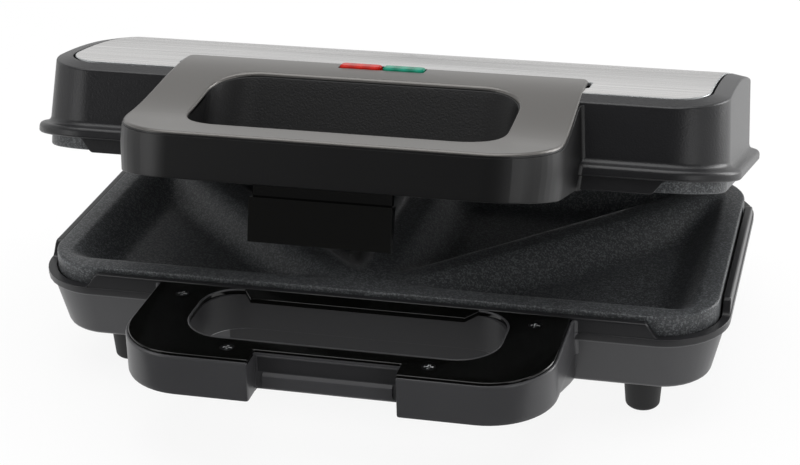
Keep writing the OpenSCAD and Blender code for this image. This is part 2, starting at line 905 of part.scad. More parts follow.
// The wall that leans back behind the finger opening, grown by o
module leaning_wall(o) {
  half_w = hole_half_w + shell_wall + o;
  low = lip_top - 0.3 - o;
  high = lid_wall_h + 1.25;
  along_x(-half_w, half_w)
    polygon([[lean_y(low) - o, low], [lean_y(low) + lean_wall + o, low],
             [lean_y(high) + lean_wall + o, high], [lean_y(high) - o, high]]);
}

// Walls of the upper handle: the outer wall and the wall round the finger opening
module upper_handle_frame() {
  rear_rib = handle_half_w - hole_half_w;
  difference() {
    intersection() {
      translate([0, 0, lid_handle_bottom])
        linear_extrude(60)
          handle_plan(0, 3);
      under_deck(deck_t + seat_gap);
    }
    difference() {
      translate([0, 0, -10])
        linear_extrude(70)
          difference() {
            handle_plan(-shell_wall, -skirt_out);
            hole_plan(shell_wall, -skirt_out - shell_wall);
          }
      latch_lugs();
      screw_places()
        cylinder(h = 60, d = 7.4);
      for (x = [-1, 1]) {
        translate([x * screw_front[0] - shell_wall / 2, handle_front + 1, 0])
          cube([shell_wall, handle_bar_w, 60]);
        translate([x * (handle_half_w + hole_half_w) / 2 - rear_rib / 2, screw_rear[1] - shell_wall / 2, 0])
          cube([rear_rib, shell_wall, 60]);
      }
    }
    translate([0, 0, lid_handle_bottom - cut])
      linear_extrude(cover_t + cut + seat_gap)
        handle_plan(-cover_inset + seat_gap, cover_rear + seat_gap);
    screw_places()
      translate([0, 0, -cut])
        cylinder(h = 14, d = cover_screw_d + 2 * run_gap);
  }
}

// Lugs that hold the ends of the latch pin
module latch_lugs() {
  mirror_x()
    translate([latch_w / 2 + pass_gap, handle_front, lid_handle_bottom + cover_t])
      cube([latch_lug_t, handle_bar_w, 10]);
}

// The lid's outside, grown by o, which its handle and hinge arms are cut to
module lid_body(o) {
  drawn_wall(lid_base_out + o, lip_top - 1, lid_top_out + o, lid_roof_z);
  plan_slab(lip_out + o, lid_skirt_top - o, lip_top - lid_skirt_top + 2 * o);
  plan_slab(skirt_out + o, lid_skirt_bottom - cut, lid_skirt_top - lid_skirt_bottom + cut);
}

// A hinge arm of the lid: a barrel, and a web to the rear wall
module lid_arm(side) {
  color("#2b2b2d")
    raise()
      difference() {
        mirror([side > 0 ? 0 : 1, 0, 0])
          union() {
            x_rod(hinge_x - barrel_w / 2, hinge_x + barrel_w / 2, hinge_y, hinge_z, 2 * hinge_r);
            along_x(hinge_x - barrel_w / 2, hinge_x + barrel_w / 2)
              polygon([[plate_d - 3, 12], [plate_d - 3, lid_wall_h - 4], [hinge_y - 7, hinge_z + 17],
                       [hinge_y + 6, hinge_z + 6], [hinge_y, hinge_z - 5], [hinge_y - 7, hinge_z + 2],
                       [plate_d + 4, 12]]);
          }
        lid_body(bracket_gap);
        x_rod(hinge_x - barrel_w, hinge_x + barrel_w, hinge_y, hinge_z, hinge_pin_d + 2 * run_gap);
        x_rod(-cheek_out - 1, -cheek_out + hinge_bolt_in + 0.6, hinge_y, hinge_z, hinge_pin_d + 2 * run_gap);
        loom_bores();
      }
}

module lid_arm_left() lid_arm(-1);
module lid_arm_right() lid_arm(1);

// Bores that take the loom along the hinge axis and up into the lid
module loom_bores() {
  x_rod(loom_meet_x - 6, -cheek_in + 1, hinge_y, hinge_z, loom_bore_d);
  rod([loom_meet_x - 3, hinge_y, hinge_z], [loom_meet_x - 3, plate_d - 8, hinge_z + 17], loom_bore_d);
}

// The upper handle's frame, cut to the lid's front and to the finger opening
module upper_handle() {
  color("#1b1b1c")
    raise()
      difference() {
        upper_handle_frame();
        lid_body(bracket_gap);
        leaning_wall(bracket_gap);
        upper_opening(0);
        translate([-hole_half_w, cover_hole_rear - 1.2, lid_handle_bottom - cut])
          cube([2 * hole_half_w, 4, lip_top]);
        x_rod(-latch_w / 2 - latch_lug_t - 2, latch_w / 2 + latch_lug_t + 2, latch_pin_y, latch_pin_z,
              latch_pin_d + 2 * run_gap);
      }
}

module lid_housing() {
  color("#353537")
    raise()
      difference() {
        union() {
          difference() {
            union() {
              intersection() {
                drawn_wall(lid_base_out, lip_top - 1, lid_top_out, lid_roof_z);
                under_crown(lid_wall_crown);
              }
              intersection() {
                plan_slab(-steel_inset + 0.6, 20, 40);
                under_crown(crown_h - steel_t - seat_gap);
              }
              plan_slab(lip_out, lid_skirt_top, lip_top - lid_skirt_top);
              intersection() {
                plan_slab(skirt_out, lid_skirt_bottom, lid_skirt_top - lid_skirt_bottom + grow);
                between_sides(lid_skirt_top + grow, lid_skirt_bottom, corner_lean);
              }
            }
            intersection() {
              drawn_wall(lid_base_out - shell_wall, lip_top - 2, lid_top_out - shell_wall, lid_roof_z);
              under_crown(lid_wall_crown - shell_wall - 0.4);
            }
            plan_slab(plate_clear, -20, 20 + lip_top - 0.5);
          }
          intersection() {
            plate_posts(lid_post) {
              translate([0, 0, plate_gap + boss_bottom_drop + seat_gap])
                cylinder(h = 30, d = boss_d);
              translate([0, 0, plate_gap + reflector_drop + reflector_t + seat_gap])
                cylinder(h = 30, d = post_d - 3);
            }
            under_crown(crown_h - steel_t - seat_gap);
          }
          intersection() {
            leaning_wall(0);
            under_deck(deck_t + seat_gap);
          }
        }
        upper_opening(0);
        difference() {
          translate([-deck_rear_half_w - notch_gap, -1.2, 0])
            cube([2 * (deck_rear_half_w + notch_gap), deck_rear_y + notch_gap + 1.2, 80]);
          under_deck(deck_t + seat_gap);
        }
        plate_posts(lid_post) {
          translate([0, 0, plate_gap + boss_bottom_drop - cut])
            cylinder(h = 40, d = plate_screw_d + 2 * run_gap);
          translate([0, 0, lid_screw_seat_z()])
            cylinder(h = 20, d = plate_head_d + 2 * seat_gap);
        }
        loom_bores();
        lens_slot_space(2);
      }
}

// Height that the upper plate screws' heads bear on
function lid_screw_seat_z() = min(crown_z(lid_post[1], crown_h), crown_z(plate_d - lid_post[1], crown_h))
  - steel_t - 3.4;

// Space for the lenses and their lamps in the lid's top
module lens_slot_space(room) {
  translate([-lens_len - room - 1, lens_y - lens_w / 2 - room, 20])
    cube([2 * (lens_len + room + 1), lens_w + 2 * room, 40]);
}

module steel_cover() {
  color("#c9cacb")
    raise()
      difference() {
        intersection() {
          plan_slab(-steel_inset, 20, 40);
          under_crown(crown_h);
        }
        under_crown(crown_h - steel_t);
        translate([-deck_rear_half_w - notch_gap, -10, 0])
          cube([2 * (deck_rear_half_w + notch_gap), deck_rear_y + notch_gap + 10, 80]);
      }
}

// Outline of the deck: as wide as the handle in front, a little narrower over the lid
module deck_plan() {
  intersection() {
    union() {
      handle_plan(-0.2, -1.3, deck_half_w);
      translate([-deck_rear_half_w, -2])
        square([2 * deck_rear_half_w, deck_rear_y - 1]);
      translate([-deck_rear_half_w + 3, -2])
        square([2 * deck_rear_half_w - 6, deck_rear_y + 2]);
      for (x = [-1, 1])
        translate([x * (deck_rear_half_w - 3), deck_rear_y - 3])
          circle(3);
    }
    translate([-200, -200])
      square([400, 400]);
  }
}

// Satin deck on the upper handle, with the finger opening and the lens slot
module lid_deck() {
  color("#8e8c88")
    raise()
      difference() {
        intersection() {
          linear_extrude(80)
            deck_plan();
          difference() {
            under_deck(0);
            under_deck(deck_t);
          }
        }
        linear_extrude(80)
          hole_plan(-deck_overhang, upper_hole_rear);
        translate([-lens_len - lens_gap / 2 - seat_gap, lens_y - lens_w / 2 - seat_gap, 20])
          cube([2 * lens_len + lens_gap + 2 * seat_gap, lens_w + 2 * seat_gap, 60]);
      }
}

// Gloss cover under the upper handle, with the slot that the latch hangs through
module lid_handle_cover() {
  color("#0c0c0d")
    raise()
      difference() {
        translate([0, 0, lid_handle_bottom])
          linear_extrude(cover_t)
            difference() {
              handle_plan(-cover_inset, cover_rear);
              hole_plan(0, cover_hole_rear);
              translate([-latch_w / 2 - pass_gap - 0.4, handle_front + shell_wall])
                square([latch_w + 2 * pass_gap + 0.8, 10.5]);
            }
        screw_places()
          cover_screw_seat(lid_handle_bottom, -1);
      }
}

module lid_handle_screws() {
  color("#2a2a2c")
    raise()
      screw_places()
        translate([0, 0, lid_handle_bottom + 0.1])
          mirror([0, 0, 1])
            cover_screw(12);
}

// Turns a lower plate's piece over for the lid
module turned() {
  translate([0, 0, plate_gap])
    mirror([0, 0, 1])
      children();
}

module upper_plate() {
  color("#46484b")
    raise()
      turned()
        plate_shape(lid_post);
}

module upper_heater() {
  color("#8c8c8a")
    raise()
      turned()
        heater_shape();
}

module upper_heater_clamps() {
  color("#b0b2b4")
    raise()
      turned()
        clamps_shape();
}

module upper_reflector() {
  color("#c4c6c8")
    raise()
      turned()
        reflector_shape(lid_post);
}

module upper_plate_screws() {
  color("#a8aaac")
    raise()
      plate_posts(lid_post) {
        translate([0, 0, lid_screw_seat_z()])
          cylinder(h = plate_head_h, d = plate_head_d);
        translate([0, 0, plate_gap + plate_wall + 3])
          cylinder(h = lid_screw_seat_z() - plate_gap - plate_wall - 3 + 0.1, d = plate_screw_d);
      }
}

// One indicator lens: a bar through the deck, with a light guide below
module lens(side) {
  x1 = side > 0 ? lens_gap / 2 : -lens_gap / 2 - lens_len;
  along_x(x1, x1 + lens_len)
    polygon([[lens_y - lens_w / 2, deck_z(lens_y - lens_w / 2) - lens_depth],
             [lens_y + lens_w / 2, deck_z(lens_y - lens_w / 2) - lens_depth],
             [lens_y + lens_w / 2, deck_z(lens_y + lens_w / 2) + lens_stand - 0.5],
             [lens_y + lens_w / 2 - 0.6, deck_z(lens_y + lens_w / 2) + lens_stand],
             [lens_y - lens_w / 2 + 0.6, deck_z(lens_y - lens_w / 2) + lens_stand],
             [lens_y - lens_w / 2, deck_z(lens_y - lens_w / 2) + lens_stand - 0.5]]);
}

module red_lens() {
  color("#b3170f")
    raise()
      lens(-1);
}

module green_lens() {
  color("#1f8a70")
    raise()
      lens(1);
}

// Height of the lamps' middle, under the lenses
function lamp_z() = deck_z(lens_y - lens_w / 2) - lens_depth - lamp_d / 2 - 0.5;

// Tray that holds the two lamps under the lenses
module lamp_holder() {
  color("#d8d4ca")
    raise()
      difference() {
        translate([-lens_len - 0.5, lens_y - lens_w / 2 + 0.2, lamp_z() - lamp_d / 2 - 1.6])
          cube([2 * lens_len + 1, lens_w - 0.4, lamp_d / 2 + 1.4]);
        x_rod(-lens_len + 1, -1.5, lens_y, lamp_z(), lamp_d + 2 * seat_gap);
        x_rod(1.5, lens_len - 1, lens_y, lamp_z(), lamp_d + 2 * seat_gap);
      }
}

// A small neon lamp with a round end
module lamp(side) {
  x1 = side > 0 ? 2.5 : -2.5 - lamp_len;
  x_rod(x1, x1 + lamp_len - lamp_d / 2, lens_y, lamp_z(), lamp_d);
  translate([x1 + lamp_len - lamp_d / 2, lens_y, lamp_z()])
    sphere(d = lamp_d);
}

module red_lamp() {
  color("#e8b8a8")
    raise()
      lamp(-1);
}

module green_lamp() {
  color("#b8e0cc")
    raise()
      lamp(1);
}

// Thermostat: a snap disc in a round can, carried by a bracket on the reflector
thermostat_place = [0, 75];
thermostat_z = plate_gap + reflector_drop + reflector_t;
module thermostat() {
  color("#d9d6cf")
    raise()
      translate([thermostat_place[0], thermostat_place[1], thermostat_z + 1.4]) {
        cylinder(h = 7, d = 15);
        translate([0, 0, 7 - grow])
          cylinder(h = 2, d = 8);
      }
}

module thermostat_bracket() {
  color("#b4b6b8")
    raise()
      translate([thermostat_place[0], thermostat_place[1], thermostat_z + 0.1])
        difference() {
          union() {
            translate([-14, -8, 0])
              cube([28, 16, 1.2]);
            translate([-14, -8, 0])
              cube([1.2, 16, 5]);
            translate([12.8, -8, 0])
              cube([1.2, 16, 5]);
          }
          for (x = [-10, 10])
            translate([x, 0, -cut])
              cylinder(h = 4, d = 2.6);
        }
}

// Thermal fuse: a slim can in a sleeve, lying on the reflector
module thermal_fuse() {
  color("#e9e4d8")
    raise() {
      x_rod(36, 52, 75, thermostat_z + 2.2, 4);
      x_rod(30, 36.1, 75, thermostat_z + 2.2, 1.2);
      x_rod(51.9, 58, 75, thermostat_z + 2.2, 1.2);
    }
}

// Loom from the hinge axis into the lid, and its branches to the heater, thermostat, fuse and lamps
module lid_wiring() {
  z = thermostat_z + 3;
  top_z = thermostat_z + 10.7;
  fuse_z = thermostat_z + 2.2;
  tail_z = plate_gap + heater_drop;
  tail_end = heater_tail_y + 6.3;
  color("#8a2f2a")
    raise() {
      wire([[loom_meet_x - seat_gap, hinge_y, hinge_z], [loom_meet_x - 3, hinge_y, hinge_z],
            [loom_meet_x - 3, plate_d - 8, hinge_z + 17], [-90, plate_d - 14, z + 1]], loom_d);
      wire([[-90, plate_d - 14, z + 1], [-40, 132, z + 1], [-heater_tail_x, tail_end + 4, z - 4],
            [-heater_tail_x, tail_end + 4, tail_z], [-heater_tail_x, tail_end, tail_z]], wire_d);
      wire([[-90, plate_d - 14, z + 1], [-70, 110, z + 2], [-20, 90, z + 4], [-2, 75, top_z + 2],
            [-2, 75, top_z]], wire_d);
      wire([[2, 75, top_z], [2, 75, top_z + 2], [20, 75, z + 4], [25, 75, fuse_z], [29.7, 75, fuse_z]], wire_d);
      wire([[58.3, 75, fuse_z], [64, 75, fuse_z], [60, 120, z + 1], [heater_tail_x, tail_end + 4, z - 4],
            [heater_tail_x, tail_end + 4, tail_z], [heater_tail_x, tail_end, tail_z]], wire_d);
      wire([[-90, plate_d - 14, z + 1], [-96, 80, z + 3], [-60, 40, z + 5], [-lens_len - 5, lens_y + 4, lamp_z() - 1],
            [-lens_len - 4, lens_y, lamp_z()], [-lens_len - 0.8, lens_y, lamp_z()]], wire_d);
    }
}

module latch_pin() {
  color("#b9bbbd")
    raise()
      x_rod(-latch_w / 2 - latch_lug_t, latch_w / 2 + latch_lug_t, latch_pin_y, latch_pin_z, latch_pin_d);
}

// Latch flap, hung on its pin: barrel, neck, face plate, two side ribs and the hook that catches
module latch_flap() {
  face_z = latch_face_top - latch_pin_z;
  bottom_z = face_z - latch_face_h;
  half_w = latch_w / 2;
  front = latch_plate_back - latch_plate_t;
  color("#0e0e0f")
    raise()
      translate([0, latch_pin_y, latch_pin_z])
        rotate([latch_lean, 0, 0])
          difference() {
            union() {
              x_rod(-half_w + 0.8, half_w - 0.8, 0, 0, 2 * latch_barrel_r);
              translate([-half_w + 0.8, -latch_neck_t, face_z - 1])
                cube([latch_w - 1.6, latch_neck_t, -face_z + 1]);
              translate([-half_w, front, bottom_z])
                cube([latch_w, latch_plate_t, latch_face_h]);
              translate([-half_w, front, face_z - 1.8])
                cube([latch_w, -front - 0.2, 1.8]);
              for (x = [-half_w, half_w - latch_rib_t])
                along_x(x, x + latch_rib_t)
                  polygon([[front, face_z], [-0.2, face_z], [-1.9, bottom_z], [front, bottom_z]]);
              along_x(-half_w, half_w)
                polygon([[latch_plate_back - grow, latch_hook_top], [latch_hook_back, latch_hook_top],
                         [latch_hook_back, latch_hook_top - 1.2], [latch_plate_back - grow, bottom_z]]);
            }
            x_rod(-half_w - cut, half_w + cut, 0, 0, latch_pin_d + 2 * run_gap);
          }
}

base_housing();
lower_handle();
handle_cover();
handle_cover_screws();
lower_plate();
lower_heater();
lower_heater_clamps();
lower_reflector();
lower_plate_screws();
foot_front_left();
foot_front_right();
foot_rear_left();
foot_rear_right();
cord_gland();
terminal_block();
base_wiring();
hinge_bracket_left();
hinge_bracket_right();
hinge_pin_left();
hinge_pin_right();
lid_housing();
lid_arm_left();
lid_arm_right();
upper_handle();
steel_cover();
lid_deck();
lid_handle_cover();
lid_handle_screws();
upper_plate();
upper_heater();
upper_heater_clamps();
upper_reflector();
upper_plate_screws();
red_lens();
green_lens();
lamp_holder();
red_lamp();
green_lamp();
thermostat();
thermostat_bracket();
thermal_fuse();
lid_wiring();
latch_pin();
latch_flap();
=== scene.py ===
"""Looks of the sandwich toaster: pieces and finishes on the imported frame.

Shapes are worked out in millimetres with the toaster shut: y = 0 at the front rim of the plates, z = 0 at
the rim of the lower plate. stand() and raised() then put them where they stand, in metres.
"""
import math

import bmesh
import bpy
import numpy as np
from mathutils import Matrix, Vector


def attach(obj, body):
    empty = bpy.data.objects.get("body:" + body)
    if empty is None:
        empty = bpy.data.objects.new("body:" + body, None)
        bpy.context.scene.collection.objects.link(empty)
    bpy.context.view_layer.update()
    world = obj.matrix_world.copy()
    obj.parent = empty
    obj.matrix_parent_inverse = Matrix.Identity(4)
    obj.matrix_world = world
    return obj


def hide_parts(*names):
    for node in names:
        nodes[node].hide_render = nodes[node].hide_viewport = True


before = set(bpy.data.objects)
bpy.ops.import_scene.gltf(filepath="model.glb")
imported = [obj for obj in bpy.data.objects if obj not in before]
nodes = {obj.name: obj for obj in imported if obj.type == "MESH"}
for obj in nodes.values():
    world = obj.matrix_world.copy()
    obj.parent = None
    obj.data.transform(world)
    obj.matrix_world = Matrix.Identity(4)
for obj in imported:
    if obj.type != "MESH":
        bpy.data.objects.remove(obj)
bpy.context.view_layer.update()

# Plates and the outline round them
PLATE_W, PLATE_D, PLATE_R = 290.0, 149.0, 24.0
STRAIGHT_X = PLATE_W / 2 - PLATE_R
STRAIGHT_Y = (PLATE_R, PLATE_D - PLATE_R)
PLATE_GAP = 1.2
POCKET_DEPTH, POCKET_SLOPE, RIM_W, RIDGE_W = 12.0, 17.7, 8.5, 5.0
# How the toaster stands
RIM_H, MID_Y = 52.0, 54.15
HINGE_Y, HINGE_Z, LID_OPEN = 165.9, 5.95, math.radians(17.6)
LATCH_Y, LATCH_Z = -59.0, 3.8
# Base
LEDGE_Z, FLANGE_LOW, BASE_LOW, FLOOR_TOP = -8.0, -11.5, -34.0, -31.5
RAISED_TOP, RAISED_OUT, FLANGE_OUT, FOOT_OUT = -1.6, 4.0, 4.5, -3.0
# Handles
HANDLE_W, HANDLE_FRONT, HANDLE_R = 89.0, -66.6, 28.0
HOLE_W, HOLE_FRONT, HOLE_R = 64.5, -48.6, 17.0
COVER_TOP, COVER_LOW, HANDLE_LOW = -1.5, -3.5, -19.8
COVER_REAR, COVER_HOLE_REAR = -4.4, -5.8
RECESS_W, RECESS_BACK, CATCH_FRONT = 30.0, -57.0, -58.5
SCREWS = [(41.0, -56.5), (74.9, -13.8)]
# Lid
WALL_TOP, WALL_CROWN, STEEL_CROWN = 34.75, 44.69, 46.1
CROWN_R, CROWN_Y = 377.0, 86.0
STEEL_IN = 8.8
LID_HANDLE_LOW, LID_COVER_TOP = -0.4, 1.6
DECK_REAR = 27.0
LENS_Y, LENS_W, LENS_L = 22.4, 6.4, 17.5


def stand(p):
    """Puts points of the shut toaster where its base stands."""
    return (np.asarray(p, float) + [0, -MID_Y, RIM_H]) / 1000


def raised(p):
    """Puts points of the shut toaster where its open lid holds them."""
    p = np.asarray(p, float)
    y, z = p[:, 1] - HINGE_Y, p[:, 2] - HINGE_Z
    c, s = math.cos(LID_OPEN), math.sin(LID_OPEN)
    return stand(np.column_stack([p[:, 0], HINGE_Y + y * c + z * s, HINGE_Z - y * s + z * c]))


def ramp(t):
    """0 below t = 0, 1 above t = 1 and an S between."""
    t = min(1.0, max(0.0, t))
    return t * t * (3 - 2 * t)


def deck_z(y):
    """Height of the satin deck, which climbs in an S from the handle's front to the lid's top."""
    return 17.8 + 0.13 * (y - HANDLE_FRONT) + 13 * ramp((y + 46) / 73)


def crown_z(y, top):
    """Height of the lid's arched top, from front to back."""
    return top - CROWN_R + math.sqrt(CROWN_R ** 2 - (y - CROWN_Y) ** 2)


def lean_y(z):
    """Place of the finger opening's leaning rear wall at a height."""
    return -3.5 + (z - 8) * 10.5 / 29.6


def base_out(z):
    """How far the base's side stands out at a height."""
    if z > LEDGE_Z:
        return RAISED_OUT
    if z > FLANGE_LOW - 0.3:
        return FLANGE_OUT
    return 2.5 + (FOOT_OUT - 2.5) * (FLANGE_LOW - z) / (FLANGE_LOW - BASE_LOW)


def lid_out(z):
    """How far the lid's side stands out at a height."""
    if z < 6.5:
        return 3.5
    if z < 10.8:
        return 5.5
    return 0.6 - 1.5 * min(1.0, max(0.0, (z - 14) / (WALL_TOP - 14)))


def rounded(corners, closed=True, steps=9):
    """Points of a path whose corners (a, b, radius) are rounded."""
    path, n = [], len(corners)
    for i, (a, b, r) in enumerate(corners):
        p = Vector((a, b))
        if r == 0 or (not closed and i in (0, n - 1)):
            path.append((a, b))
            continue
        before, after = corners[i - 1], corners[(i + 1) % n]
        u, v = Vector(before[:2]) - p, Vector(after[:2]) - p
        room = min(u.length * (0.5 if before[2] else 1), v.length * (0.5 if after[2] else 1))
        u.normalize()
        v.normalize()
        half = u.angle(v) / 2
        trim = min(r / math.tan(half), room)
        centre = p + (u + v).normalized() * trim / math.cos(half)
        first, last = p + u * trim - centre, p + v * trim - centre
        sweep = first.angle_signed(last)
        count = max(2, round(steps * abs(sweep) / (math.pi / 2)))
        for k in range(count + 1):
            turn = -sweep * k / count
            path.append((centre.x + first.x * math.cos(turn) - first.y * math.sin(turn),
                         centre.y + first.x * math.sin(turn) + first.y * math.cos(turn)))
    return path


def circle(x, y, r, count=28):
    """A round outline that runs clockwise, as holes do."""
    return [(x + r * math.cos(2 * math.pi * i / count), y - r * math.sin(2 * math.pi * i / count))
            for i in range(count)]


def moved_out(outline, out):
    """An outline moved along its own normals: an outer one grows and a hole shrinks."""
    p = np.array(outline, float)
    along = np.roll(p, -1, 0) - p
    along /= np.linalg.norm(along, axis=1)[:, None]
    n2 = np.column_stack([along[:, 1], -along[:, 0]])
    n1 = np.roll(n2, 1, 0)
    n = n1 + n2
    n /= np.linalg.norm(n, axis=1)[:, None]
    return p + n * (out / np.maximum(0.35, (n * n1).sum(1)))[:, None]


def wall_faces(bm, rings, paint, loop=True):
    """Joins rings of vertices with faces, painted by their step."""
    for k in range(len(rings) - 1):
        n = len(rings[k])
        for i in range(n if loop else n - 1):
            j = (i + 1) % n
            face = bm.faces.new((rings[k][i], rings[k][j], rings[k + 1][j], rings[k + 1][i]))
            face.material_index = paint[k] if paint else 0


def ring_edges(bm, ring):
    return [bm.edges.get((ring[i], ring[(i + 1) % len(ring)])) for i in range(len(ring))]


def slab(loops, cuts=(), warp=None, top_paint=0, low_paint=0):
    """A flat-capped body between outlines. Each loop is (outline, profile of (out, z), paint of each step);
    outer outlines run anticlockwise and holes clockwise. cuts are the y at which it is cut to bend it."""
    bm = bmesh.new()
    low, top = [], []
    for outline, profile, paint in loops:
        rings = [[bm.verts.new((x, y, z)) for x, y in moved_out(outline, out)] for out, z in profile]
        wall_faces(bm, rings, paint)
        low += ring_edges(bm, rings[0])
        top += ring_edges(bm, rings[-1])
    for edges, paint in ((low, low_paint), (top, top_paint)):
        made = bmesh.ops.triangle_fill(bm, edges=edges, use_beauty=True)
        for face in made["geom"]:
            if isinstance(face, bmesh.types.BMFace):
                face.material_index = paint
    for y in cuts:
        bmesh.ops.bisect_plane(bm, geom=bm.verts[:] + bm.edges[:] + bm.faces[:], dist=1e-5,
                               plane_co=(0, y, 0), plane_no=(0, 1, 0))
    bmesh.ops.recalc_face_normals(bm, faces=bm.faces)
    if warp:
        for v in bm.verts:
            v.co = warp(*v.co)
    return bm


def bar(x1, x2, points, bevel=0.0, steps=2):
    """A bar along x, with its (y, z) outline and bevelled edges."""
    bm = bmesh.new()
    ends = [[bm.verts.new((x, y, z)) for y, z in points] for x in (x1, x2)]
    wall_faces(bm, ends, None)
    bm.faces.new(ends[0][::-1])
    bm.faces.new(ends[1])
    bmesh.ops.recalc_face_normals(bm, faces=bm.faces)
    if bevel:
        bmesh.ops.bevel(bm, geom=bm.edges[:], offset=bevel, segments=steps, profile=0.5, affect="EDGES")
    return bm


def joined(*parts):
    """Several meshes as one."""
    bm = bmesh.new()
    for part in parts:
        mesh = bpy.data.meshes.new("join")
        part.to_mesh(mesh)
        part.free()
        bm.from_mesh(mesh)
        bpy.data.meshes.remove(mesh)
    return bm


def piece(name, bm, place, body, finishes, stands_for, crease=38):
    """Makes a piece of the mesh, in its place, with its finishes."""
    mesh = bpy.data.meshes.new(name)
    bm.to_mesh(mesh)
    bm.free()
    points = np.empty(len(mesh.vertices) * 3)
    mesh.vertices.foreach_get("co", points)
    mesh.vertices.foreach_set("co", place(points.reshape(-1, 3)).ravel())
    for finish in finishes:
        mesh.materials.append(finish)
    mesh.shade_smooth()
    mesh.set_sharp_from_angle(angle=math.radians(crease))
    made = bpy.data.objects.new(name, mesh)
    bpy.context.scene.collection.objects.link(made)
    weighted = made.modifiers.new("even shading", "WEIGHTED_NORMAL")
    weighted.keep_sharp = True
    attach(made, body)
    if stands_for:
        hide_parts(*stands_for)
    return made


def kept(name, finish, bevel=0.0, crease=30, worn=None):
    """Gives a node of the frame its finish, and breaks its hard edges as a mould would, or as wear does."""
    made = nodes[name]
    made.data.materials.clear()
    made.data.materials.append(finish)
    if worn:
        made.data.materials.append(worn)
    for polygon in made.data.polygons:
        polygon.material_index = 0
        polygon.use_smooth = True
    weld = made.modifiers.new("weld", "WELD")
    weld.merge_threshold = 2e-6
    if bevel:
        flat = made.modifiers.new("flat faces", "DECIMATE")
        flat.decimate_type = "DISSOLVE"
        flat.angle_limit = math.radians(2)
        edge = made.modifiers.new("edges", "BEVEL")
        edge.width = bevel / 1000
        edge.segments = 3
        edge.limit_method = "ANGLE"
        edge.angle_limit = math.radians(crease)
        edge.harden_normals = False
        if worn:
            edge.material = 1
    weighted = made.modifiers.new("even shading", "WEIGHTED_NORMAL")
    weighted.keep_sharp = False
    made.data.set_sharp_from_angle(angle=math.radians(crease))
    return made


def hue(code):
    """A #rrggbb colour as linear RGBA."""
    parts = [int(code[i:i + 2], 16) / 255 for i in (1, 3, 5)]
    return [c / 12.92 if c <= 0.04045 else ((c + 0.055) / 1.055) ** 2.4 for c in parts] + [1.0]


def add(tree, kind, sockets=(), **settings):
    """Adds a shader node with its settings, and sets or links its sockets."""
    made = tree.nodes.new(kind)
    for key, value in settings.items():
        setattr(made, key, value)
    for key, value in dict(sockets).items():
        if isinstance(value, bpy.types.NodeSocket):
            tree.links.new(value, made.inputs[key])
        else:
            made.inputs[key].default_value = value
    return made


def surface(name, sockets):
    """A new material with its shader, and the tree to build its pattern in."""
    made = bpy.data.materials.new(name)
    made.use_nodes = True
    made.node_tree.nodes.clear()
    shader = add(made.node_tree, "ShaderNodeBsdfPrincipled", sockets)
    add(made.node_tree, "ShaderNodeOutputMaterial", {"Surface": shader.outputs["BSDF"]})
    return made, made.node_tree, shader


def moulded(name, dark, light, roughness, ior, grain, depth, patch=30.0, shine=0.5):
    """Moulded plastic or rubber: its colour drifts between two close tones over patch millimetres, and the
    mould's texture has grains of grain millimetres, depth millimetres deep."""
    made, tree, shader = surface(name, {"Roughness": roughness, "IOR": ior, "Specular IOR Level": shine})
    place = add(tree, "ShaderNodeTexCoord").outputs["Object"]
    drift = add(tree, "ShaderNodeTexNoise", {"Vector": place, "Scale": 1000 / patch, "Detail": 3.0})
    tone = add(tree, "ShaderNodeMix", {0: drift.outputs["Fac"], 6: hue(dark), 7: hue(light)}, data_type="RGBA")
    tree.links.new(tone.outputs[2], shader.inputs["Base Color"])
    relief = add(tree, "ShaderNodeTexNoise", {"Vector": place, "Scale": 1000 / grain, "Detail": 2.0})
    bump = add(tree, "ShaderNodeBump", {"Height": relief.outputs["Fac"], "Distance": depth / 1000, "Strength": 1.0})
    tree.links.new(bump.outputs["Normal"], shader.inputs["Normal"])
    return made


# Polypropylene from a spark-eroded mould: charcoal, with a fine leathery grain that softens highlights
charcoal_grained = moulded("charcoal polypropylene, grained", "#1b1b1d", "#202022", 0.36, 1.45, 0.8, 0.09)
# Raised wall and flange of the base: the same charcoal from a finer mould, so its edges draw sharper lines
charcoal_satin = moulded("charcoal polypropylene, satin", "#1f1f21", "#252527", 0.32, 1.45, 0.5, 0.008)
# The same plastic from a finer mould: even, semi-matte dark grey
grey_moulded = moulded("dark grey polypropylene, satin", "#3c3c3e", "#414143", 0.34, 1.45, 0.5, 0.008)
# Handle in satin black ABS: smooth enough for soft upright highlights on its corners
black_satin = moulded("black ABS, satin", "#0b0b0c", "#0e0e0f", 0.42, 1.5, 0.7, 0.012)
# The same plastic with the grain of the finger opening's walls
black_grained = moulded("black ABS, grained", "#0c0c0d", "#101011", 0.44, 1.5, 0.8, 0.1, shine=0.3)
# Inside the lower handle the grey plastic has a dull spark-eroded face. Its colour there is darker as painted shade, on
# the opening's walls, the latch recess's back panel and the web behind the opening
grey_dull_painted_shade = moulded("dark grey polypropylene, dull, painted shade", "#232325", "#29292b", 0.5, 1.45, 0.6, 0.05)
# Polished black ABS: deep black with sharp reflections
black_gloss = moulded("black ABS, polished", "#040403", "#060605", 0.09, 1.5, 12.0, 0.004)
rubber = moulded("black rubber, moulded", "#131314", "#181819", 0.62, 1.45, 0.5, 0.02)
gland_pvc = moulded("black PVC, moulded", "#131314", "#18181a", 0.5, 1.5, 0.6, 0.015)
steatite = moulded("steatite ceramic", "#ddd6c8", "#e8e2d6", 0.45, 1.55, 0.3, 0.01, 6.0)
wire_sleeve = moulded("red silicone sleeve", "#7e2420", "#933029", 0.5, 1.42, 0.5, 0.01, 8.0)
lamp_tray = moulded("white nylon", "#cfcabf", "#dcd8ce", 0.5, 1.53, 0.5, 0.01, 8.0)


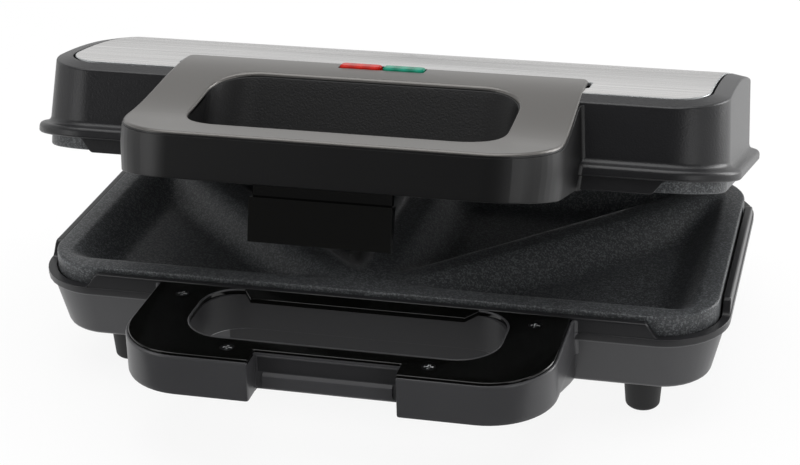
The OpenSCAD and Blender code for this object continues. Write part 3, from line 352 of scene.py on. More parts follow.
def satin_paint():
    """Grey metal-effect lacquer on the deck: fine flakes under a satin coat, so it pales where it faces up."""
    made, tree, shader = surface("grey metal-effect lacquer", {"Metallic": 0.5, "Roughness": 0.34, "IOR": 1.5})
    place = add(tree, "ShaderNodeTexCoord").outputs["Object"]
    # Flakes are 0.03 mm, drawn at 0.25 mm so that they show
    flakes = add(tree, "ShaderNodeTexNoise", {"Vector": place, "Scale": 1000 / 0.25, "Detail": 1.0})
    tone = add(tree, "ShaderNodeMix", {0: flakes.outputs["Fac"], 6: hue("#615f5d"), 7: hue("#6b6966")},
               data_type="RGBA")
    tree.links.new(tone.outputs[2], shader.inputs["Base Color"])
    bump = add(tree, "ShaderNodeBump", {"Height": flakes.outputs["Fac"], "Distance": 3e-6, "Strength": 1.0})
    tree.links.new(bump.outputs["Normal"], shader.inputs["Normal"])
    return made


def brushed(name, dark, light, roughness, pitch, run):
    """Steel brushed along x: scratches pitch millimetres apart that run for run millimetres."""
    made, tree, shader = surface(name, {"Metallic": 1.0, "Anisotropic": 0.5})
    place = add(tree, "ShaderNodeTexCoord").outputs["Object"]
    stretched = add(tree, "ShaderNodeMapping", {"Vector": place, "Scale": (1000 / run, 1000 / pitch, 1000 / pitch)})
    lines = add(tree, "ShaderNodeTexNoise", {"Vector": stretched.outputs[0], "Scale": 1.0, "Detail": 4.0,
                                             "Roughness": 0.65})
    tone = add(tree, "ShaderNodeMix", {0: lines.outputs["Fac"], 6: hue(dark), 7: hue(light)}, data_type="RGBA")
    tree.links.new(tone.outputs[2], shader.inputs["Base Color"])
    rough = add(tree, "ShaderNodeMapRange", {0: lines.outputs["Fac"], 3: roughness - 0.07, 4: roughness + 0.07})
    tree.links.new(rough.outputs[0], shader.inputs["Roughness"])
    bump = add(tree, "ShaderNodeBump", {"Height": lines.outputs["Fac"], "Distance": 8e-6, "Strength": 1.0})
    tree.links.new(bump.outputs["Normal"], shader.inputs["Normal"])
    return made


def nonstick_coat():
    """Sprayed non-stick coating on cast aluminium: dark grey with fine pale specks."""
    made, tree, shader = surface("speckled non-stick coating", {"Roughness": 0.42, "IOR": 1.4})
    place = add(tree, "ShaderNodeTexCoord").outputs["Object"]
    # Specks are 0.2 to 0.4 mm, drawn at about 0.5 mm so that they show
    specks = add(tree, "ShaderNodeTexVoronoi", {"Vector": place, "Scale": 1000 / 0.55, "Randomness": 1.0})
    grey = add(tree, "ShaderNodeSeparateColor", {0: specks.outputs["Color"]})
    chosen = add(tree, "ShaderNodeMapRange", {0: grey.outputs[0], 1: 0.45, 2: 0.95, 3: 0.0, 4: 0.6})
    cloud = add(tree, "ShaderNodeTexNoise", {"Vector": place, "Scale": 1000 / 7, "Detail": 4.0})
    ground = add(tree, "ShaderNodeMix", {0: cloud.outputs["Fac"], 6: hue("#3a3b3d"), 7: hue("#434547")},
                 data_type="RGBA")
    tone = add(tree, "ShaderNodeMix", {0: chosen.outputs[0], 6: ground.outputs[2], 7: hue("#7c7f81")},
               data_type="RGBA")
    tree.links.new(tone.outputs[2], shader.inputs["Base Color"])
    bump = add(tree, "ShaderNodeBump", {"Height": specks.outputs["Distance"], "Distance": 2.5e-5, "Strength": 1.0})
    tree.links.new(bump.outputs["Normal"], shader.inputs["Normal"])
    return made


def tinted(name, deep, pale, painted_glow):
    """Clear tinted polycarbonate, moulded with fine prisms inside, with a faint painted glow of the lamp behind it,
    whose bulb gives no light itself.
    """
    made, tree, shader = surface(name, {"Roughness": 0.14, "IOR": 1.58, "Specular IOR Level": 0.06})
    place = add(tree, "ShaderNodeTexCoord").outputs["Object"]
    # Prisms 1 mm wide, across the lens
    prisms = add(tree, "ShaderNodeTexWave", {"Vector": place, "Scale": 1000 / 1.0 / 20, "Distortion": 0.0},
                 bands_direction="X")
    tone = add(tree, "ShaderNodeMix", {0: prisms.outputs["Fac"], 6: hue(deep), 7: hue(pale)}, data_type="RGBA")
    tree.links.new(tone.outputs[2], shader.inputs["Base Color"])
    # Painted glow: the lens emits a faint light of its own in place of the lamp behind it
    shader.inputs["Emission Color"].default_value = hue(painted_glow)
    shader.inputs["Emission Strength"].default_value = 0.12
    bump = add(tree, "ShaderNodeBump", {"Height": prisms.outputs["Fac"], "Distance": 1e-5, "Strength": 1.0})
    tree.links.new(bump.outputs["Normal"], shader.inputs["Normal"])
    return made


def lamp_bulb(name, deep, pale):
    """Thin glass bulb with a faint coating inside."""
    made, tree, shader = surface(name, {"Roughness": 0.05, "IOR": 1.5, "Transmission Weight": 0.7})
    place = add(tree, "ShaderNodeTexCoord").outputs["Object"]
    coat = add(tree, "ShaderNodeTexNoise", {"Vector": place, "Scale": 1000 / 3, "Detail": 2.0})
    tone = add(tree, "ShaderNodeMix", {0: coat.outputs["Fac"], 6: hue(deep), 7: hue(pale)}, data_type="RGBA")
    tree.links.new(tone.outputs[2], shader.inputs["Base Color"])
    return made


deck_lacquer = satin_paint()
# Stainless sheet brushed lengthwise: pale, with long streaks that stretch the highlights across it.
# Real scratches are 0.05 mm apart, drawn at 1.3 mm so that they show
steel_sheet = brushed("stainless steel sheet, brushed", "#878685", "#fbfaf9", 0.27, 1.3, 110.0)
# Screws blackened in oil: dark metal whose edges still shine
screw_black = brushed("blackened steel", "#232324", "#343435", 0.34, 0.3, 3.0)
# Turned steel: fine rings read as short streaks
steel_turned = brushed("steel, turned", "#a9abac", "#c6c8c9", 0.38, 0.3, 4.0)
# Heater sheath: steel with a matt oxide skin, straw to blue grey
steel_oxide = brushed("steel sheath, oxidised", "#76726a", "#94918b", 0.45, 1.2, 8.0)
# Aluminised sheet: dull silver with a soft spangle
steel_aluminised = brushed("aluminised steel sheet", "#b2b3b4", "#cdcecf", 0.38, 1.5, 6.0)
nonstick = nonstick_coat()
# The last colour of each lens is the colour of its painted glow
lens_red = tinted("red polycarbonate", "#860d08", "#a51c12", "#ff2010")
lens_green = tinted("green polycarbonate", "#0a5a4a", "#187a66", "#10b080")
bulb_red = lamp_bulb("glass bulb, rose", "#e0a898", "#f0c8bc")
bulb_green = lamp_bulb("glass bulb, pale green", "#a8d8c0", "#cdeadd")


def plan_ring(out, turns=(0, 1.3, 2.6, 4, 5.4, 7, 9.5, 13, 18, 25, 35, 45, 55, 65, 72, 77, 80.5, 83, 84.6, 86, 87.4, 88.7, 90)):
    """The plates' outline grown by out, with the same points for every out: the front edge first."""
    xs = sorted({*np.arange(-115, 116, 5.0), *np.arange(-121, -116, 0.5), *np.arange(116.5, 121.1, 0.5),
                 *(s * v for s in (-1, 1) for v in (62.0, 66.0, 66.8, 76.0))})
    ys = sorted({*np.arange(26, 124, 4.0), *np.arange(24, 30, 0.75), *np.arange(119, 125.1, 0.75)})
    r = PLATE_R + out
    ring = [(x, -out) for x in xs]

    def corner(cx, cy, start):
        for t in turns[1:-1]:
            a = math.radians(start + t)
            ring.append((cx + r * math.cos(a), cy + r * math.sin(a)))

    corner(STRAIGHT_X, STRAIGHT_Y[0], -90)
    ring += [(PLATE_W / 2 + out, y) for y in ys]
    corner(STRAIGHT_X, STRAIGHT_Y[1], 0)
    ring += [(x, PLATE_D + out) for x in xs[::-1]]
    corner(-STRAIGHT_X, STRAIGHT_Y[1], 90)
    ring += [(-PLATE_W / 2 - out, y) for y in ys[::-1]]
    corner(-STRAIGHT_X, STRAIGHT_Y[0], 180)
    return ring


def between_corners(x, y):
    """1 along the straight sides and 0 round the corners, with an S-shaped change: across, and along the sides."""
    across = 1 - ramp((abs(x) - 117.2) / 6.0)
    along = 1 - ramp((abs(y - PLATE_D / 2) - 46.7) / 6.0)
    return across, along


def shell_of_base():
    profile = rounded([(0.9, -9.6, 0), (0.9, RAISED_TOP, 0.4), (RAISED_OUT, RAISED_TOP, 0.9),
                       (RAISED_OUT, LEDGE_Z, 0.3), (FLANGE_OUT, LEDGE_Z, 0.45), (FLANGE_OUT, FLANGE_LOW, 0.9),
                       (2.45, FLANGE_LOW - 0.5, 0.8), (FOOT_OUT, BASE_LOW, 2.6), (-6.5, BASE_LOW, 0)],
                      closed=False, steps=4)
    inner = [(-6.5, FLOOR_TOP), (-5.2, FLOOR_TOP), (0.0, -12.5), (0.4, -9.7), (0.9, -9.6)]
    bm = bmesh.new()
    rings = []
    for out, z in profile + inner:
        ring = []
        for x, y in plan_ring(out):
            k = max(between_corners(x, y))
            ring.append(bm.verts.new((x, y, LEDGE_Z + (z - LEDGE_Z) * k if z > LEDGE_Z else z)))
        rings.append(ring)
    wall_faces(bm, rings, [1 if a[1] > FLANGE_LOW + 0.4 or a[1] > LEDGE_Z - 3 else 0 for a in profile + inner][1:])
    bmesh.ops.recalc_face_normals(bm, faces=bm.faces)
    floor_loops = [(plan_ring(-6.4), [(0, BASE_LOW), (0, FLOOR_TOP)], [0])]
    for i in range(-5, 6):
        slot = rounded([(i * 14 - 1.5, 54.5, 1.5), (i * 14 - 1.5, 94.5, 1.5), (i * 14 + 1.5, 94.5, 1.5),
                        (i * 14 + 1.5, 54.5, 1.5)], steps=4)
        floor_loops.append((slot, [(0.5, BASE_LOW), (0, BASE_LOW + 0.5), (0, FLOOR_TOP)], [0, 0]))
    for x in (-131, 131):
        for y in (15, PLATE_D - 15):
            floor_loops.append((circle(x, y, 4.2), [(0.4, BASE_LOW), (0, BASE_LOW + 0.4), (0, FLOOR_TOP)], [0, 0]))
    return joined(bm, slab(floor_loops))


def hole_outline(rear, r_rear=HOLE_R, half_w=HOLE_W, front=HOLE_FRONT):
    return rounded([(-half_w, front, HOLE_R), (-half_w, rear, r_rear), (half_w, rear, r_rear),
                    (half_w, front, HOLE_R)])


def handle_outline(inset, rear, flare=True):
    """A handle's outline; where it meets the housing it flares out in a small fillet."""
    w, front, r = HANDLE_W - inset, HANDLE_FRONT + inset, HANDLE_R - inset
    left = [(-w, -8, 0), (-w, front, r)]
    right = [(w, front, r), (w, -8, 0)]
    if flare:
        sweep = [(w, -2.2), (w + 0.25, -1.1), (w + 0.8, -0.4), (w + 1.6, -0.05), (w + 1.6, rear)]
        return [*rounded([(-x, y, 0) for x, y in sweep[::-1]] + left + right + [(x, y, 0) for x, y in sweep],
                         steps=14)]
    return rounded([(-w, rear, 0), *left[1:], *right[:1], (w, rear, 0)], steps=14)


def body_of_lower_handle():
    outline = handle_outline(0, 2.0)
    notch = rounded([(-RECESS_W, HANDLE_FRONT, 1.0), (-RECESS_W, RECESS_BACK, 0.4), (RECESS_W, RECESS_BACK, 0.4),
                     (RECESS_W, HANDLE_FRONT, 1.0)], closed=False, steps=4)
    front = [i for i, (x, y) in enumerate(outline) if abs(y - HANDLE_FRONT) < 1e-3]
    cut = max(i for i in front if outline[i][0] < 0) + 1
    side = 1.3
    notch = [(-RECESS_W - side, HANDLE_FRONT), (-RECESS_W - 0.35, HANDLE_FRONT + 0.3), (-RECESS_W, HANDLE_FRONT + side),
             *notch[1:-1], (RECESS_W, HANDLE_FRONT + side), (RECESS_W + 0.35, HANDLE_FRONT + 0.3),
             (RECESS_W + side, HANDLE_FRONT)]
    outline = outline[:cut] + notch + outline[cut:]
    edge = [(-0.9, HANDLE_LOW), (-0.25, HANDLE_LOW + 0.25), (0, HANDLE_LOW + 0.9), (0, -17.4), (0, -17.3), (0, -8.1),
            (0, -7.9), (0, -3.6), (-0.12, -3.0), (-0.4, -2.6), (-0.75, -2.5), (-1.0, -2.52), (-1.08, -2.7),
            (-1.08, -3.6)]
    hole = [(-0.6, HANDLE_LOW), (0, HANDLE_LOW + 0.6), (0, -3.6)]

    def warp(x, y, z):
        if y > -6:
            y -= base_out(z) * min(1.0, (y + 6) / 3.0)
        elif z < -17.35 and abs(x) < RECESS_W + 0.2 and abs(y - RECESS_BACK) < 1.2:
            y += 1.8
        return x, y, z

    # The opening's walls take the second finish, the darker grey of painted shade
    body = slab([(outline, edge, None), (hole_outline(COVER_HOLE_REAR), hole, [0, 1])], warp=warp)
    panel = bar(-28.9, 28.9, [(RECESS_BACK + 0.2, -10.4), (RECESS_BACK - 0.12, -10.4), (RECESS_BACK - 0.12, -3.7),
                              (RECESS_BACK + 0.2, -3.7)])
    # The recess's back panel in the darker grey: painted shade of the latch recess
    for face in panel.faces:
        face.material_index = 1
    catch = bar(-26.6, 26.6, [(RECESS_BACK + 0.4, -10.5), (CATCH_FRONT + 0.15, -12.0), (CATCH_FRONT, -12.5),
                              (CATCH_FRONT, -17.1), (CATCH_FRONT + 0.3, -17.4), (RECESS_BACK + 0.4, -17.4)], 0.15)
    frame_bars = [bar(-29.2, 29.2, [(RECESS_BACK + 0.2, z), (RECESS_BACK - 0.45, z), (RECESS_BACK - 0.45, z + 0.6),
                                    (RECESS_BACK + 0.2, z + 0.6)], 0.15) for z in (-3.9,)]
    for x in (-29.2, 28.6):
        frame_bars.append(bar(x, x + 0.6, [(RECESS_BACK + 0.2, -10.9), (RECESS_BACK - 0.45, -10.9),
                                           (RECESS_BACK - 0.45, -3.3), (RECESS_BACK + 0.2, -3.3)], 0.15))
    gussets = [bar(s * 85.0, s * 88.6, [(-36, HANDLE_LOW + 1), (-36, HANDLE_LOW + 0.1), (-8.7, HANDLE_LOW - 9.6),
                                        (2.2, BASE_LOW + 1.3), (3.4, HANDLE_LOW + 1)], 0.5) for s in (-1, 1)]
    # A web behind the opening, in the darker grey: a dark sheet that paints the shade seen through the opening
    web = bar(-58, 58, [(COVER_HOLE_REAR, -19.0), (COVER_HOLE_REAR, -26.0), (1.5, -26.0), (-1.0, -19.0)])
    for face in web.faces:
        face.material_index = 1
    band = []
    for out in (0.8, 0):
        w, front, rear = HOLE_W + out, HOLE_FRONT - out, COVER_HOLE_REAR + out
        path = rounded([(-50, rear, 0), (-w, rear, 14 + out), (-w, front, HOLE_R + out), (w, front, HOLE_R + out),
                        (w, rear, 14 + out), (50, rear, 0)], closed=False)
        band += path if out else path[::-1]
    bead = slab([(band, [(0, COVER_TOP - 0.4), (0, COVER_TOP + 0.05), (-0.22, COVER_TOP + 0.25)], None)])
    return joined(body, catch, panel, web, bead, *frame_bars, *gussets)


def gloss_cover():
    """The lower handle's cover, its edges broken finely so that they draw thin bright lines."""
    i = 1.2
    w, front = HANDLE_W - i, HANDLE_FRONT + i
    outline = rounded([(-w, COVER_REAR, 0), (-w, front, HANDLE_R - i), (-RECESS_W, front, 0.6),
                       (-RECESS_W, RECESS_BACK + 0.7, 0.5), (RECESS_W, RECESS_BACK + 0.7, 0.5),
                       (RECESS_W, front, 0.6), (w, front, HANDLE_R - i), (w, COVER_REAR, 0)], steps=14)
    hole = rounded([(-HOLE_W, HOLE_FRONT, HOLE_R), (-HOLE_W, COVER_HOLE_REAR, 14), (-50, COVER_HOLE_REAR, 0),
                    (-45.5, -13.0, 0.8), (45.5, -13.0, 0.8), (50, COVER_HOLE_REAR, 0), (HOLE_W, COVER_HOLE_REAR, 14),
                    (HOLE_W, HOLE_FRONT, HOLE_R)])
    edge = [(0, COVER_LOW), (0, COVER_TOP - 0.45), (-0.13, COVER_TOP - 0.13), (-0.45, COVER_TOP)]
    loops = [(outline, edge, None), (hole, edge, None)]
    for s in (-1, 1):
        for x, y in SCREWS:
            loops.append((circle(s * x, y, 3.15), [(-1.4, COVER_LOW), (-1.4, COVER_TOP - 1.2), (0, COVER_TOP - 0.3),
                                                   (0.28, COVER_TOP)], None))
    return slab(loops)


def shell_of_lid():
    profile = rounded([(0.9, 9.5, 0), (0.9, 0.6, 0.4), (3.5, 0.6, 0.7), (3.5, 6.5, 0.5), (5.5, 6.5, 1.2),
                       (5.5, 10.8, 2.0), (0.75, 11.3, 2.6), (-0.9, WALL_TOP, 0.9), (-7.9, WALL_TOP + 1.25, 0.4),
                       (-8.1, WALL_TOP - 1.2, 0), (-11.5, WALL_TOP - 1.2, 0)], closed=False, steps=5)
    bm = bmesh.new()
    rings = []
    for out, z in profile:
        ring = []
        for x, y in plan_ring(out):
            h = z
            if z < 6.5:
                h = 6.5 - (6.5 - z) * between_corners(x, y)[0]
            h += (crown_z(min(max(y, -1), 150), WALL_CROWN) - WALL_TOP) * min(1.0, max(0.0, (z - 14) / (WALL_TOP - 14)))
            if y < 20 and abs(x) < 66.4:
                y = max(y, lean_y(h) + 2.6)
            ring.append(bm.verts.new((x, y, h)))
        rings.append(ring)
    wall_faces(bm, rings, [0] * 200)
    bmesh.ops.recalc_face_normals(bm, faces=bm.faces)
    return bm


def steel_sheet_cover():
    i = STEEL_IN
    w, r = PLATE_W / 2 - i, 15.2
    notch = [(-84, i, 0), (-84, 15, 0), (-87.4, 18, 1), (-87.4, 27.9, 1.5)]
    outline = rounded([(-w, i, r), *notch, *[(-x, y, q) for x, y, q in notch[::-1]], (w, i, r),
                       (w, PLATE_D - i, r), (-w, PLATE_D - i, r)], steps=12)
    edge = [(0, -1.6), (0, -0.5), (-0.15, -0.12), (-0.5, 0)]
    return slab([(outline, edge, [1, 1, 1])], cuts=np.arange(12, 140, 4.0),
                warp=lambda x, y, z: (x, y, crown_z(y, STEEL_CROWN) + z))


def drafted(x, z):
    """The upper handle narrows a little towards its top."""
    return x - math.copysign(0.09 * (z - 12) * min(1.0, max(0.0, (abs(x) - HOLE_W) / 24.4)), x)


def opening(hole_y, z):
    """The finger opening's rear leans back: its outline at a height, from the outline at the deck."""
    return HOLE_FRONT + (hole_y - HOLE_FRONT) * (lean_y(z) - HOLE_FRONT) / (7.0 - HOLE_FRONT)


def deck():
    w, front = HANDLE_W - 0.3, HANDLE_FRONT + 0.2
    outline = rounded([(-w, DECK_REAR, 3.5), (-w, front, HANDLE_R), (w, front, HANDLE_R), (w, DECK_REAR, 3.5)], steps=14)
    edge = [(-0.25, -2.3), (-0.2, -1.9), (0, -1.75), (0, -1.0), (-0.1, -0.6), (-0.35, -0.27), (-0.75, -0.07), (-1.2, 0)]
    rim = [(0, -2.3), (0, -1.2), (-0.1, -0.62), (-0.38, -0.2), (-0.85, 0)]
    slot = rounded([(-LENS_L - 0.75, LENS_Y - 3.45, 0.8), (-LENS_L - 0.75, LENS_Y + 3.45, 0.8),
                    (LENS_L + 0.75, LENS_Y + 3.45, 0.8), (LENS_L + 0.75, LENS_Y - 3.45, 0.8)], steps=4)
    hole = rounded([(-HOLE_W, HOLE_FRONT, HOLE_R), (-HOLE_W, 7.0, 18), (HOLE_W, 7.0, 18),
                    (HOLE_W, HOLE_FRONT, HOLE_R)], steps=12)

    def warp(x, y, z):
        h = deck_z(y) + z
        return drafted(x, h), y, h

    paint = [1, 1, 1, 0, 0, 0, 0]
    return slab([(outline, edge, paint), (hole, rim, [1, 0, 0, 0]),
                 (slot, [(0, -2.3), (0, -0.25), (-0.25, 0)], [1, 0])],
                cuts=np.arange(-64, 27, 2.5), warp=warp, low_paint=1)


def upper_handle_mesh():
    """The upper handle: an outer wall and a bar in front, with the opening's walls inside it."""
    rear_top = deck_z(0) - 1.8
    outline = [*handle_outline(0.0, 2.4), (70, 2.4), (68, 8.6), (-68, 8.6), (-70, 2.4)]
    levels = [6.2, 6.7, 10.5, 11.2, 14.0, 20.0, 27.0]

    def share(z):
        return (z - LID_HANDLE_LOW) / (rear_top - LID_HANDLE_LOW)

    floor_t = share(LID_COVER_TOP)
    edge = [(-1.08, floor_t), (-1.08, 0.012), (-1.0, 0.0), (-0.55, 0.0), (-0.15, 0.008), (0, 0.022),
            *[(0, share(z)) for z in levels], (0, 0.995), (-0.15, 1.0)]
    hole = rounded([(-HOLE_W, HOLE_FRONT, HOLE_R), (-HOLE_W, 7.0, 18), (HOLE_W, 7.0, 18),
                    (HOLE_W, HOLE_FRONT, HOLE_R)], steps=12)
    hole_edge = [(-1.0, floor_t), (-1.0, 0.01), (-0.8, 0.0), (-0.2, 0.0), (0, 0.02),
                 *[(0, t) for t in (0.15, 0.3, 0.45, 0.6, 0.75, 0.9, 0.995)], (-0.15, 1.0)]
    slot = rounded([(-29.2, -64.0, 0), (-29.2, -53.6, 0), (29.2, -53.6, 0), (29.2, -64.0, 0)])

    def warp(x, y, t):
        leans = abs(x) < HOLE_W + 0.3 and HOLE_FRONT - 0.3 < y < 7.3 and not (abs(x) < 30 and y < -50)
        top = deck_z(y) - 1.8
        z = LID_HANDLE_LOW + t * (top - LID_HANDLE_LOW)
        if leans:
            return drafted(x, z), opening(y, z), z
        if y > 3 and abs(x) < 70:
            return drafted(x, z), lean_y(z) + y - 7.0, z
        if y > -6:
            y -= lid_out(z) * min(1.0, (y + 6) / 3.0)
        return drafted(x, z), y, z

    paint_hole = [0, 0, 0, 0, *[1] * 8]
    return slab([(outline, edge, [0] * (len(edge) - 1)), (hole, hole_edge, paint_hole),
                 (slot, [(0, floor_t), (0, 1.0)], [0])],
                cuts=np.arange(-64, -4, 2.5), warp=warp)


def lens(side):
    """An indicator's lens: a bar that follows the deck's slope, with broad bevels and pointed ends."""
    x1 = side * 0.5
    x2 = side * (0.5 + LENS_L)
    y1, y2 = LENS_Y - LENS_W / 2 + 0.25, LENS_Y + LENS_W / 2 - 0.25
    bm = bmesh.new()
    rings = []
    for inset, rise in ((0, -4.0), (0, 0.35), (0.45, 0.75), (0.9, 0.9)):
        ring = []
        a, b = min(x1, x2) + inset, max(x1, x2) - inset
        for x, y in ((a + 0.9, y1 + inset), (b - 0.9, y1 + inset), (b, y1 + 1.4), (b, y2 - 1.4), (b - 0.9, y2 - inset),
                     (a + 0.9, y2 - inset), (a, y2 - 1.4), (a, y1 + 1.4)):
            ring.append(bm.verts.new((x, y, deck_z(y) + rise)))
        rings.append(ring)
    wall_faces(bm, rings, None)
    bm.faces.new(rings[-1])
    bm.faces.new(rings[0][::-1])
    bmesh.ops.recalc_face_normals(bm, faces=bm.faces)
    return bm


def pocket_depth(x, y):
    """Depth of a plate's triangular pockets at a place, with softly rounded shoulders and floor."""
    x = np.abs(x)
    x1, x2, y1, y2, g = RIDGE_W, PLATE_W / 2 - RIM_W, RIM_W, PLATE_D - RIM_W, RIDGE_W * 1.2
    depth = np.zeros_like(x)
    for (ax, ay), (bx, by), sides in (((x1 + g, y1), (x2, y2 - g), (y - y1, x2 - x)),
                                      ((x2 - g, y2), (x1, y1 + g), (x - x1, y2 - y))):
        ux, uy = bx - ax, by - ay
        length = math.hypot(ux, uy)
        slant = ((x - ax) * uy - (y - ay) * ux) / length
        soft = 3.0
        d = -soft * np.log(np.exp(-sides[0] / soft) + np.exp(-sides[1] / soft) + np.exp(-slant / soft))
        t = np.clip((d + 0.6) / POCKET_SLOPE, 0, 1)
        depth = np.maximum(depth, POCKET_DEPTH * (0.45 * t * t * (3 - 2 * t) + 0.55 * np.sin(t * math.pi / 2) ** 1.5))
    return depth


def plate(turned):
    """A cast cooking plate: pockets, flat rim and skirt, face up for the base and face down for the lid."""
    step = 1.7
    xs = np.linspace(-137.4, 137.4, round(274.8 / step) + 1)
    ys = np.linspace(7.6, 141.4, round(133.8 / step) + 1)
    gx, gy = np.meshgrid(xs, ys)
    gz = -pocket_depth(gx, gy)
    edge_of_grid = (gx <= xs[0]) | (gx >= xs[-1]) | (gy <= ys[0]) | (gy >= ys[-1])
    gz[edge_of_grid] = 0
    bm = bmesh.new()
    grid = [[bm.verts.new((gx[j, i], gy[j, i], gz[j, i])) for i in range(len(xs))] for j in range(len(ys))]
    for j in range(len(ys) - 1):
        for i in range(len(xs) - 1):
            bm.faces.new((grid[j][i], grid[j][i + 1], grid[j + 1][i + 1], grid[j + 1][i]))
    border = grid[0] + [row[-1] for row in grid[1:-1]] + grid[-1][::-1] + [row[0] for row in grid[1:-1]][::-1]
    profile = [(-1.1, 0), (-0.5, -0.12), (-0.12, -0.5), (0, -1.1), (0, -8.6), (-0.4, -9), (-3, -9), (-3, -4)]
    rings = [[bm.verts.new((x, y, z)) for x, y in plan_ring(out)] for out, z in profile]
    bmesh.ops.triangle_fill(bm, edges=ring_edges(bm, border) + [
        bm.edges.new((rings[0][i], rings[0][(i + 1) % len(rings[0])])) for i in range(len(rings[0]))],
        use_beauty=True, normal=(0, 0, 1))
    wall_faces(bm, rings, None)
    bmesh.ops.recalc_face_normals(bm, faces=bm.faces)
    bm.faces.ensure_lookup_table()
    if bm.faces[0].normal.z < 0:
        bmesh.ops.reverse_faces(bm, faces=bm.faces)
    if turned:
        for v in bm.verts:
            v.co.z = PLATE_GAP - v.co.z
        bmesh.ops.reverse_faces(bm, faces=bm.faces)
    return bm


# Base
piece("base_shell", shell_of_base(), stand, "base",
      [grey_moulded, charcoal_satin], ["base_housing"])
piece("lower_handle_body", body_of_lower_handle(), stand, "base", [grey_moulded, grey_dull_painted_shade],
      ["lower_handle"])
piece("lower_handle_gloss_cover", gloss_cover(), stand, "base", [black_gloss], ["handle_cover"], 60)
piece("lower_cooking_plate", plate(False), stand, "base", [nonstick], ["lower_plate"])

# Lid
piece("lid_shell", shell_of_lid(), raised, "lid", [charcoal_grained], ["lid_housing"])
piece("upper_handle_body", upper_handle_mesh(), raised, "lid", [black_satin, black_grained],
      ["upper_handle"])
piece("handle_deck", deck(), raised, "lid", [deck_lacquer, black_satin], ["lid_deck"])
piece("lid_steel_sheet", steel_sheet_cover(), raised, "lid",
      [steel_sheet, steel_turned], ["steel_cover"])
piece("upper_cooking_plate", plate(True), raised, "lid", [nonstick], ["upper_plate"])
piece("indicator_red", lens(-1), raised, "lid", [lens_red], ["red_lens"], 20)
piece("indicator_green", lens(1), raised, "lid", [lens_green], ["green_lens"], 20)

# Nodes of the frame that keep their shape
for name in ("foot_front_left", "foot_front_right", "foot_rear_left", "foot_rear_right"):
    kept(name, rubber, 0.5)
for name in ("hinge_bracket_left", "hinge_bracket_right", "lid_arm_left", "lid_arm_right"):
    kept(name, charcoal_grained, 0.6)
kept("lid_handle_cover", black_gloss, 0.3)
kept("latch_flap", black_gloss, 0.5)
for name in ("latch_pin", "hinge_pin_left", "hinge_pin_right"):
    kept(name, steel_turned, 0.3)
for name in ("lower_plate_screws", "upper_plate_screws"):
    kept(name, steel_turned, 0.2)
for name in ("handle_cover_screws", "lid_handle_screws"):
    kept(name, screw_black, 0.2, worn=steel_turned)
kept("cord_gland", gland_pvc, 0.5)
kept("terminal_block", steatite, 0.3)
for name in ("base_wiring", "lid_wiring"):
    kept(name, wire_sleeve)
for name in ("lower_heater", "upper_heater"):
    kept(name, steel_oxide)
for name in ("lower_heater_clamps", "upper_heater_clamps", "lower_reflector", "upper_reflector", "thermostat_bracket"):
    kept(name, steel_aluminised, 0.12)
kept("lamp_holder", lamp_tray, 0.2)
kept("red_lamp", bulb_red)
kept("green_lamp", bulb_green)
kept("thermostat", steatite, 0.3)
kept("thermal_fuse", steatite, 0.2)


def white_floor():
    """Plain white floor. What the camera and reflections see of it is mostly its own white, so that it keeps
    the toaster's shadow only faintly, while the light it gives back to the toaster is plain."""
    bm = bmesh.new()
    bmesh.ops.create_grid(bm, x_segments=8, y_segments=8, size=0.8)
    mesh = bpy.data.meshes.new("floor")
    bm.to_mesh(mesh)
    bm.free()
    made = bpy.data.materials.new("white paper floor")
    made.use_nodes = True
    tree = made.node_tree
    tree.nodes.clear()
    paper = add(tree, "ShaderNodeBsdfDiffuse", {"Color": hue("#f4f4f4")})
    white = add(tree, "ShaderNodeEmission", {"Color": (1, 1, 1, 1), "Strength": 1.0})
    path = add(tree, "ShaderNodeLightPath")
    seen = add(tree, "ShaderNodeMath", {0: path.outputs["Is Camera Ray"], 1: path.outputs["Is Glossy Ray"]},
               operation="MAXIMUM")
    seen = add(tree, "ShaderNodeMath", {0: seen.outputs[0], 1: path.outputs["Is Transmission Ray"]},
               operation="MAXIMUM")
    share = add(tree, "ShaderNodeMath", {0: seen.outputs[0], 1: 0.9}, operation="MULTIPLY")
    both = add(tree, "ShaderNodeMixShader", {0: share.outputs[0], 1: paper.outputs[0], 2: white.outputs[0]})
    add(tree, "ShaderNodeOutputMaterial", {"Surface": both.outputs[0]})
    mesh.materials.append(made)
    floor = bpy.data.objects.new("floor", mesh)
    floor.location = (0, -0.15, -0.0003)
    bpy.context.scene.collection.objects.link(floor)


def floor_flag():
    """A black card on the floor in front, seen only in reflections: it gives the upright dark faces their depth."""
    bm = bmesh.new()
    corners = [bm.verts.new(v) for v in ((-0.7, -0.9, 0), (0.7, -0.9, 0), (0.7, -0.135, 0), (-0.7, -0.135, 0))]
    bm.faces.new(corners)
    mesh = bpy.data.meshes.new("floor flag")
    bm.to_mesh(mesh)
    bm.free()
    made = bpy.data.materials.new("black card")
    made.use_nodes = True
    made.node_tree.nodes.clear()
    felt = add(made.node_tree, "ShaderNodeBsdfDiffuse", {"Color": hue("#0c0c0c")})
    add(made.node_tree, "ShaderNodeOutputMaterial", {"Surface": felt.outputs[0]})
    mesh.materials.append(made)
    card = bpy.data.objects.new("floor flag", mesh)
    card.location = (0, 0, 0.0002)
    card.visible_camera = card.visible_diffuse = card.visible_shadow = card.visible_transmission = False
    bpy.context.scene.collection.objects.link(card)


def softbox(name, place, aim, size, power):
    """A square lamp of size metres, turned to its aim."""
    data = bpy.data.lights.new(name, "AREA")
    data.shape = "RECTANGLE"
    data.size, data.size_y = size
    data.energy = power
    lamp = bpy.data.objects.new(name, data)
    lamp.location = place
    lamp.rotation_euler = (Vector(aim) - Vector(place)).to_track_quat("-Z", "Y").to_euler()
    bpy.context.scene.collection.objects.link(lamp)


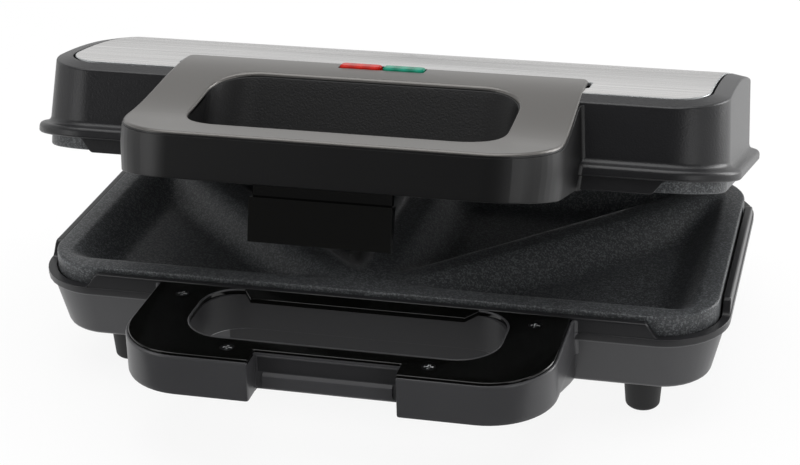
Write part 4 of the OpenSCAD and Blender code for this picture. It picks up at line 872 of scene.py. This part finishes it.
white_floor()
floor_flag()
softbox("overhead softbox", (-0.1, 0.1, 1.4), (0, 0.05, 0), (1.5, 1.7), 20)
softbox("rear right softbox", (1.0, 0.7, 0.42), (0, 0, 0.06), (0.5, 0.9), 9)
softbox("right front softbox", (0.85, -0.7, 0.22), (0, 0, 0.06), (0.4, 0.5), 1.4)
softbox("left softbox", (-0.95, -0.8, 0.3), (0, 0, 0.06), (0.5, 0.6), 2.2)

world = bpy.data.worlds.new("studio")
world.use_nodes = True
sky = world.node_tree
sky.nodes.clear()
# Reflections see white paper near the horizon, a dimmer ceiling above it and the dark room behind the camera
toward = add(sky, "ShaderNodeSeparateXYZ", {0: add(sky, "ShaderNodeTexCoord").outputs["Generated"]})
paper = add(sky, "ShaderNodeMapRange", {0: toward.outputs["Z"], 1: 0.16, 2: 0.6, 3: 1.0, 4: 0.3},
            interpolation_type="SMOOTHSTEP")
room = add(sky, "ShaderNodeMapRange", {0: toward.outputs["Y"], 1: -0.75, 2: -0.15, 3: 0.12, 4: 1.0},
           interpolation_type="SMOOTHSTEP")
far_floor = add(sky, "ShaderNodeMapRange", {0: toward.outputs["Z"], 1: -0.22, 2: 0.12, 3: 0.2, 4: 1.0},
                interpolation_type="SMOOTHSTEP")
studio = add(sky, "ShaderNodeMath", {0: paper.outputs[0], 1: room.outputs[0]}, operation="MULTIPLY")
studio = add(sky, "ShaderNodeMath", {0: studio.outputs[0], 1: far_floor.outputs[0]}, operation="MULTIPLY")
way = add(sky, "ShaderNodeLightPath")
seen = add(sky, "ShaderNodeMath", {0: way.outputs["Is Glossy Ray"], 1: way.outputs["Is Transmission Ray"]},
           operation="MAXIMUM")
strength = add(sky, "ShaderNodeMix", {0: seen.outputs[0], 2: 0.3, 3: studio.outputs[0]}, data_type="FLOAT")
strength = add(sky, "ShaderNodeMix", {0: way.outputs["Is Camera Ray"], 2: strength.outputs[0], 3: 1.0},
               data_type="FLOAT")
light = add(sky, "ShaderNodeBackground", {"Color": (1, 1, 1, 1), "Strength": strength.outputs[0]})
add(sky, "ShaderNodeOutputWorld", {"Surface": light.outputs[0]})
bpy.context.scene.world = world

lens_data = bpy.data.cameras.new("camera")
lens_data.sensor_width = 36
lens_data.lens = 91.857
lens_data.clip_start, lens_data.clip_end = 0.05, 30
camera = bpy.data.objects.new("camera", lens_data)
camera.location = (0.20855277, -0.7872001, 0.42521648)
camera.rotation_euler = [math.radians(a) for a in (65.51536, 1.37339, 14.07976)]
bpy.context.scene.collection.objects.link(camera)
bpy.context.scene.camera = camera
bpy.context.scene.view_settings.view_transform = "Standard"
